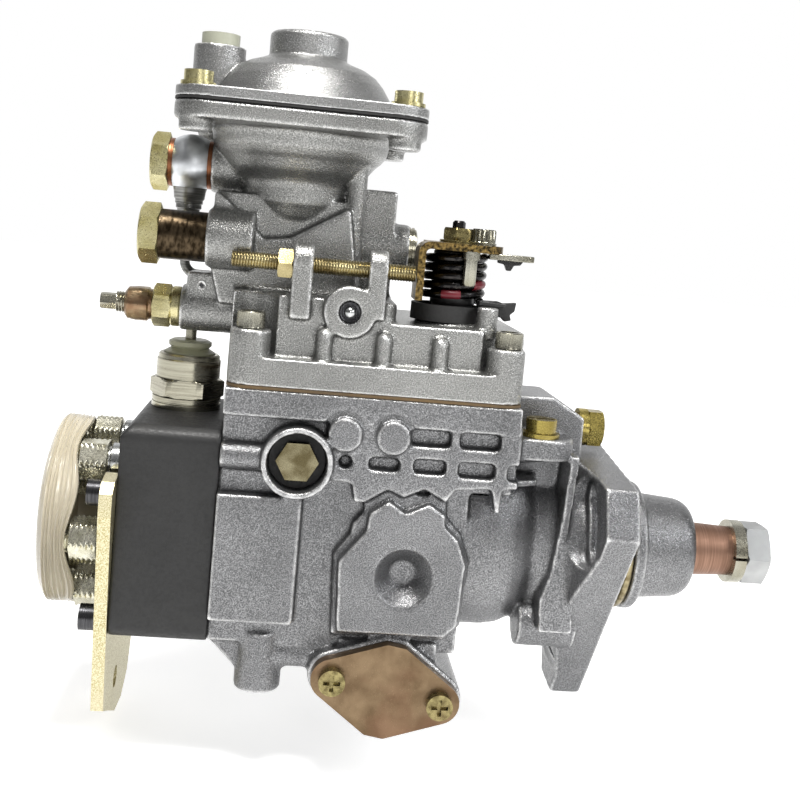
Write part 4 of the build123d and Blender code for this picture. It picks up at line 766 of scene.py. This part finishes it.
# %% Pivot bolt heads
PIVOT_AT = (-120.0, 0, 32.3)
PIVOT_SEAT_Y, PIVOT_TOP_Y = 36.9, 41.4
for side, name in ((-1, "near"), (1, "far")):
    bolt = bmesh.new()
    slope = [(0.7 * k / 4, 6.1 + 1.35 * k / 4) for k in range(5)]
    rows = [(side * PIVOT_SEAT_Y, 0), (side * PIVOT_SEAT_Y, 7.7)]
    rows += [(side * (PIVOT_TOP_Y - deep), radius) for deep, radius in reversed(slope)]
    spin(bolt, rows + [(side * PIVOT_TOP_Y, 0)], PIVOT_AT, "Y", 96, hexagon(13.2, math.pi / 6))
    # The black ring is painted shade: it darkens the recess floor round the head, where the recess lies in
    # shadow.
    shade_ring_rows = ((37.1, 0), (37.1, 10.2), (37.6, 10.3), (38.2, 9.9), (38.3, 0))
    spin(bolt, [(side * y, radius) for y, radius in shade_ring_rows], PIVOT_AT, "Y", 56, material=1)
    finish_piece("pivot_head_" + name, bolt, olive_zinc, "housing", (), 30, [black_rubber])

# %% [markdown]
# The overflow line. Its hexagon heads have turned chamfers, so a hexagon cut
# from a round form with slanted rims gives the curved edges that the real ones
# have. The ball of the hollow fitting is smooth and bright, and its neck has
# two small steps where the pipe is pressed in.

# %% Hexagon heads
def hex_head(x0, x1, flats, at, turn=0.0):
    head = bmesh.new()
    inner, corner = flats / 2 - 0.25, flats / math.sqrt(3) + 0.02
    slope = [(0.95 * k / 5, inner + (corner - inner) * k / 5) for k in range(6)]
    rows = [(x0, 0)] + [(x0 + deep, radius) for deep, radius in slope]
    rows += [(x1 - 0.6 * deep, radius) for deep, radius in reversed(slope)] + [(x1, 0)]
    spin(head, rows, at, steps=96, bend=hexagon(flats, turn))
    return head


RETURN_AT, BANJO_AT = (0, -20.0, 107.0), (0, 6.0, 133.5)
return_head = hex_head(-182.0, -175.0, 19.0, RETURN_AT, math.radians(30))
finish_piece("return_head", return_head, yellow_zinc, "housing", ["return_bolt"], 30)
banjo_head = hex_head(-183.0, -176.5, 19.0, BANJO_AT, math.radians(30))
finish_piece("banjo_head", banjo_head, yellow_zinc, "housing", ["banjo_bolt"], 30)
nut_shape = hex_head(58.6, 68.6, 22.0, (0, 0, 0))
finish_piece("shaft_end_nut", nut_shape, nut_steel, "drive", ["shaft_nut"], 30)

# %% Banjo fitting
BALL_X, BALL_Y, BALL_R = -168.5, 6.0, 11.0
fitting = bmesh.new()
ball_rows = [(-175.0, 0)]
for k in range(19):
    a = math.radians(-36 + 4 * k)
    ball_rows.append((BALL_X + BALL_R * math.sin(a), BALL_R * math.cos(a)))
spin(fitting, ball_rows + [(-162.0, 0)], BANJO_AT, steps=64)
neck = [(125.5, 0), (125.5, 6.6), (123.0, 6.0), (120.5, 5.7), (119.8, 5.2), (118.6, 5.2), (118.2, 4.8),
        (116.8, 4.8), (116.4, 4.3), (114.6, 4.1), (113.0, 3.6), (112.6, 2.4), (112.6, 0)]
spin(fitting, neck, (BALL_X, BALL_Y, 0), axis="Z", steps=40, material=1)

# %% [markdown]
# A thin pipe hangs from the fitting, turns once and ends in the cover. The tube
# helper carries a frame from point to point, so the pipe doesn't twist.

# %% Pipe under the banjo fitting
def tube(shape, path, radius, steps=16, material=0):
    """Adds a tube along points in millimetres, with the frame carried from one point to the next."""
    side = Vector((0.1, 0.2, 1.0))
    rows = []
    for index, point in enumerate(path):
        ahead = path[min(index + 1, len(path) - 1)] - path[max(index - 1, 0)]
        side = (side - ahead * side.dot(ahead) / ahead.length_squared).normalized()
        other = ahead.normalized().cross(side)
        rows.append([shape.verts.new(point + radius * (side * math.cos(a) + other * math.sin(a)))
                     for a in (2 * math.pi * k / steps for k in range(steps))])
    for first, second in zip(rows, rows[1:]):
        for k in range(steps):
            shape.faces.new([first[k], first[(k + 1) % steps], second[(k + 1) % steps],
                             second[k]]).material_index = material
    for end in (rows[0], rows[-1]):
        shape.faces.new(end).material_index = material


PIPE_BEND_R, BEND_START_Z = 5.0, 97.0
pipe = [Vector((BALL_X, BALL_Y, z)) for z in (114.0, 108.0, 102.0, BEND_START_Z)]
for k in range(1, 10):
    a = math.radians(10 * k)
    pipe.append(Vector((BALL_X + PIPE_BEND_R * (1 - math.cos(a)), BALL_Y,
                        BEND_START_Z - PIPE_BEND_R * math.sin(a))))
pipe.append(Vector((-152.5, BALL_Y, BEND_START_Z - PIPE_BEND_R)))
tube(fitting, pipe, 1.9, material=1)
finish_piece("banjo_ball", fitting, ball_steel, "housing", ["banjo_fitting"], 40,
             [neck_steel])

# %% [markdown]
# The shut-off solenoid is a stack of turned rings with one hexagon between
# them. Its top lip is rolled over the insulator, and a fine groove parts the
# lower collar from the hexagon.

# %% Solenoid body
solenoid = bmesh.new()
at_solenoid = (-163.5, 0, 0)
collar_rows = [(41.5, 0), (41.5, 12.6), (42.2, 12.9), (44.0, 12.9), (44.2, 12.5), (44.5, 12.5),
               (44.7, 12.9), (46.2, 12.9), (46.4, 12.3), (46.4, 0)]
spin(solenoid, collar_rows, at_solenoid, "Z", 64)
hexagon_rows = [(46.4, 0), (46.4, 12.6), (46.7, 13.2), (47.0, 13.86), (52.4, 13.86), (52.8, 13.1),
                (53.1, 12.4), (53.1, 0)]
spin(solenoid, hexagon_rows, at_solenoid, "Z", 96, hexagon(24.0))
lip_rows = [(53.0, 0), (53.0, 11.2), (53.5, 11.2), (53.7, 11.9), (60.2, 11.9), (60.6, 11.5),
            (61.9, 11.4), (62.5, 10.8), (62.5, 9.8), (61.6, 9.4), (61.6, 0)]
spin(solenoid, lip_rows, at_solenoid, "Z", 64)
finish_piece("solenoid_rings", solenoid, upright_steel, "housing", ["solenoid_body"], 30)

# %% [markdown]
# Socket screws have a knurled head: fine upright teeth that a wrench-less hand
# can grip. The bend makes 32 shallow teeth, and stops at the chamfer.

# %% Knurled socket screws of the cover
def knurl(count, depth, low, high):
    def bend(angle, along, radius):
        inside = low < along < high
        return along, radius - (depth * (0.5 + 0.5 * math.cos(count * angle)) if inside else 0.0)
    return bend


screws = bmesh.new()
screw_rows = [(68.0, 0), (68.0, 3.0), (77.6, 3.0), (77.6, 4.7), (77.9, 5.0), (78.3, 5.0), (82.7, 5.0),
              (83.1, 4.95), (83.5, 4.5), (83.5, 3.4)]
socket_rows = [(83.5, 3.4), (83.3, 3.0), (80.5, 2.9), (80.5, 0)]
for x in (-140.0, -48.5):
    for y in (-35.5, 35.5):
        spin(screws, screw_rows, (x, y, 0), "Z", 96, knurl(32, 0.16, 78.0, 82.9))
        spin(screws, socket_rows, (x, y, 0), "Z", 96, hexagon(5.0))
finish_piece("cover_screw_heads", screws, silver_zinc, "housing", ["cover_screws"], 30)

# %% [markdown]
# The throttle lever turns on an upright shaft with a black hexagon end. The nut
# with its washer, the serrated silver sleeve with the pin that hangs beside it,
# and the flat arm are separate pieces on the same body, so they swing with the
# lever.

# %% Lever shaft, nut and sleeve
lever_at = (-68.0, -18.0, 0)
shaft = bmesh.new()
spin(shaft, [(64.0, 0), (64.0, 4.0), (117.6, 4.0), (118.2, 3.4), (118.2, 0)], lever_at, "Z", 32)
spin(shaft, [(117.6, 0), (117.6, 2.4), (120.6, 2.4), (121.3, 1.7), (121.3, 0)], lever_at, "Z", 48, hexagon(4.2))
spin(shaft, [(67.9, 0), (67.9, 7.0), (71.0, 7.0), (71.0, 0)], lever_at, "Z", 32)
finish_piece("lever_shaft", shaft, spring_black, "throttle", ["throttle_shaft"], 30)

nut = bmesh.new()
spin(nut, [(113.0, 0), (113.0, 6.6), (113.9, 6.6), (114.1, 6.3), (114.1, 0)], lever_at, "Z", 40)
nut_rows = [(114.0, 0), (114.0, 5.2), (114.6, 5.75), (117.8, 5.75), (118.6, 5.1), (118.6, 0)]
spin(nut, nut_rows, lever_at, "Z", 96, hexagon(10.0, 0.26))
finish_piece("lever_hex_nut", nut, olive_gold, "throttle", ["lever_nut"], 30)

sleeve = bmesh.new()
sleeve_at = (-58.5, -18.0, 0)
spin(sleeve, [(112.9, 0), (112.9, 4.9), (114.0, 4.9), (114.2, 4.5)], sleeve_at, "Z", 48)
spin(sleeve, [(114.1, 4.5), (114.4, 4.5), (118.4, 4.5), (119.0, 4.0), (119.0, 3.0)], sleeve_at, "Z", 80,
     knurl(16, 0.5, 114.2, 118.9))
spin(sleeve, [(119.0, 3.0), (117.2, 2.8), (117.2, 0)], sleeve_at, "Z", 48)
pin_at = (-64.4, -32.0, 0)
pin_rows = [(98.4, 0), (98.4, 1.9), (99.2, 2.4), (107.6, 2.4), (107.8, 3.1), (110.7, 3.1), (110.7, 0)]
spin(sleeve, pin_rows, pin_at, "Z", 28, knurl(9, 0.25, 98.6, 107.7))
finish_piece("lever_sleeve", sleeve, silver_zinc, "throttle", (), 30)

core = bmesh.new()
core_rows = [(90.8, 4.1), (90.8, 8.0), (91.4, 8.3), (109.6, 8.3), (110.3, 7.8), (110.3, 4.1)]
spin(core, core_rows, lever_at, "Z", 40)
finish_piece("spring_core", core, black_plastic, "throttle", (), 30)

# %% [markdown]
# A spring that has been set is marked with red paint. Two short arcs of a tube, a
# little thicker than the wire, lie over the coil.

# %% Red paint on the spring
COIL_R, COIL_FOOT_Z, COIL_PITCH = 10.3, 92.3, 3.28
paint = bmesh.new()
for turn_from, turn_to in ((0.67, 0.77), (1.84, 1.95)):
    marks = []
    for k in range(9):
        turns = turn_from + (turn_to - turn_from) * k / 8
        angle = 2 * math.pi * turns
        marks.append(Vector((lever_at[0] + COIL_R * math.cos(angle), lever_at[1] + COIL_R * math.sin(angle),
                             COIL_FOOT_Z + COIL_PITCH * turns)))
    tube(paint, marks, 1.62, 14)
finish_piece("spring_paint", paint, red_paint, "housing", (), 40)

# %% [markdown]
# The spring's end rests on a black plastic hook, and the lever's flat arm has a
# small black catch under it. Such flat pieces are an outline with a thickness.

# %% Stop hook and lever arm
def plate(shape, outline, low, high, plane="XZ", material=0):
    """Adds a flat plate. The outline is in plane XZ or XY; low and high are along the third axis."""
    def point(a, b, c):
        return (a, c, b) if plane == "XZ" else (a, b, c)
    count = len(outline)
    near = [shape.verts.new(point(a, b, low)) for a, b in outline]
    far = [shape.verts.new(point(a, b, high)) for a, b in outline]
    for k in range(count):
        after = (k + 1) % count
        shape.faces.new([near[k], near[after], far[after], far[k]]).material_index = material
    shape.faces.new(near[::-1]).material_index = material
    shape.faces.new(far).material_index = material


hook = bmesh.new()
plate(hook, [(-59.5, 87.6), (-50.5, 87.6), (-49.0, 86.2), (-46.6, 86.8), (-47.2, 88.8), (-45.6, 90.2),
             (-45.2, 93.4), (-50.0, 92.8), (-52.0, 93.4), (-59.5, 93.2)], -25.0, -21.8)
plate(hook, [(-59.5, 91.6), (-50.5, 91.4), (-49.4, 92.6), (-59.5, 93.2)], -29.0, -24.5)
stop_hook = finish_piece("spring_stop", hook, black_plastic, "housing", (), 30)

arm = bmesh.new()
plate(arm, [(-56.4, -23.0), (-41.5, -23.0), (-39.6, -21.6), (-39.0, -18.0), (-39.6, -14.4), (-41.5, -13.0),
            (-56.4, -13.0)], 108.3, 110.5, "XY")
plate(arm, [(-52.5, 108.4), (-43.0, 108.4), (-44.0, 106.9), (-46.4, 106.6), (-47.4, 104.6), (-49.0, 104.6),
            (-50.0, 106.8), (-52.5, 107.2)], -19.0, -16.5, "XZ", 1)
flat_arm = finish_piece("lever_arm", arm, silver_zinc, "throttle", ["throttle_arm"], 30,
                        [black_plastic])
for piece in (stop_hook, flat_arm):
    soften_edges(piece, 0.0003)

# %% [markdown]
# The ball plug closes a drilling in the cover: a bright ball pressed into a
# turned seat, with a dark ring between them. The small round mark on the cover's
# lug and the stepped rings of the side plug are spun in the same way.

# %% Ball plug and side plug
plug = bmesh.new()
boss_at = (-106.0, 0, 86.0)
spin(plug, [(-37.4, 0), (-37.4, 3.8), (-39.0, 3.8), (-39.6, 3.4), (-39.2, 2.7), (-38.2, 2.5), (-38.2, 0)],
     boss_at, "Y", 40, material=1)
ball = [(-38.9 - 2.1 * math.cos(a), 2.1 * math.sin(a)) for a in (math.radians(9 * k) for k in range(14))]
spin(plug, ball, boss_at, "Y", 40)
finish_piece("pressed_ball", plug, bright_steel, "housing", ["ball_plug"], 40, [dark_steel])

mark = bmesh.new()
mark_at = (-159.5, 0, 89.6)
spin(mark, [(-16.8, 0), (-17.15, 1.7), (-17.3, 1.5), (-17.2, 1.1), (-17.05, 0.8), (-17.05, 0)], mark_at,
     "Y", 28)
spin(mark, [(-17.0, 0), (-17.1, 0.75), (-17.1, 0)], mark_at, "Y", 20, material=1)
finish_piece("lug_mark", mark, cover_alloy, "housing", (), 40, [dark_steel])

SIDE_PLUG_AT = (0, 8.0, 108.0)
rings = bmesh.new()
ring_rows = [(-84.6, 0), (-84.6, 9.3), (-83.6, 9.3), (-83.4, 8.8), (-82.9, 8.8), (-82.7, 9.1), (-82.0, 9.1),
             (-81.8, 8.4), (-81.3, 8.4), (-80.9, 7.6), (-80.9, 0)]
spin(rings, ring_rows, SIDE_PLUG_AT, steps=56)
finish_piece("side_plug_rings", rings, upright_steel, "housing", (), 30)
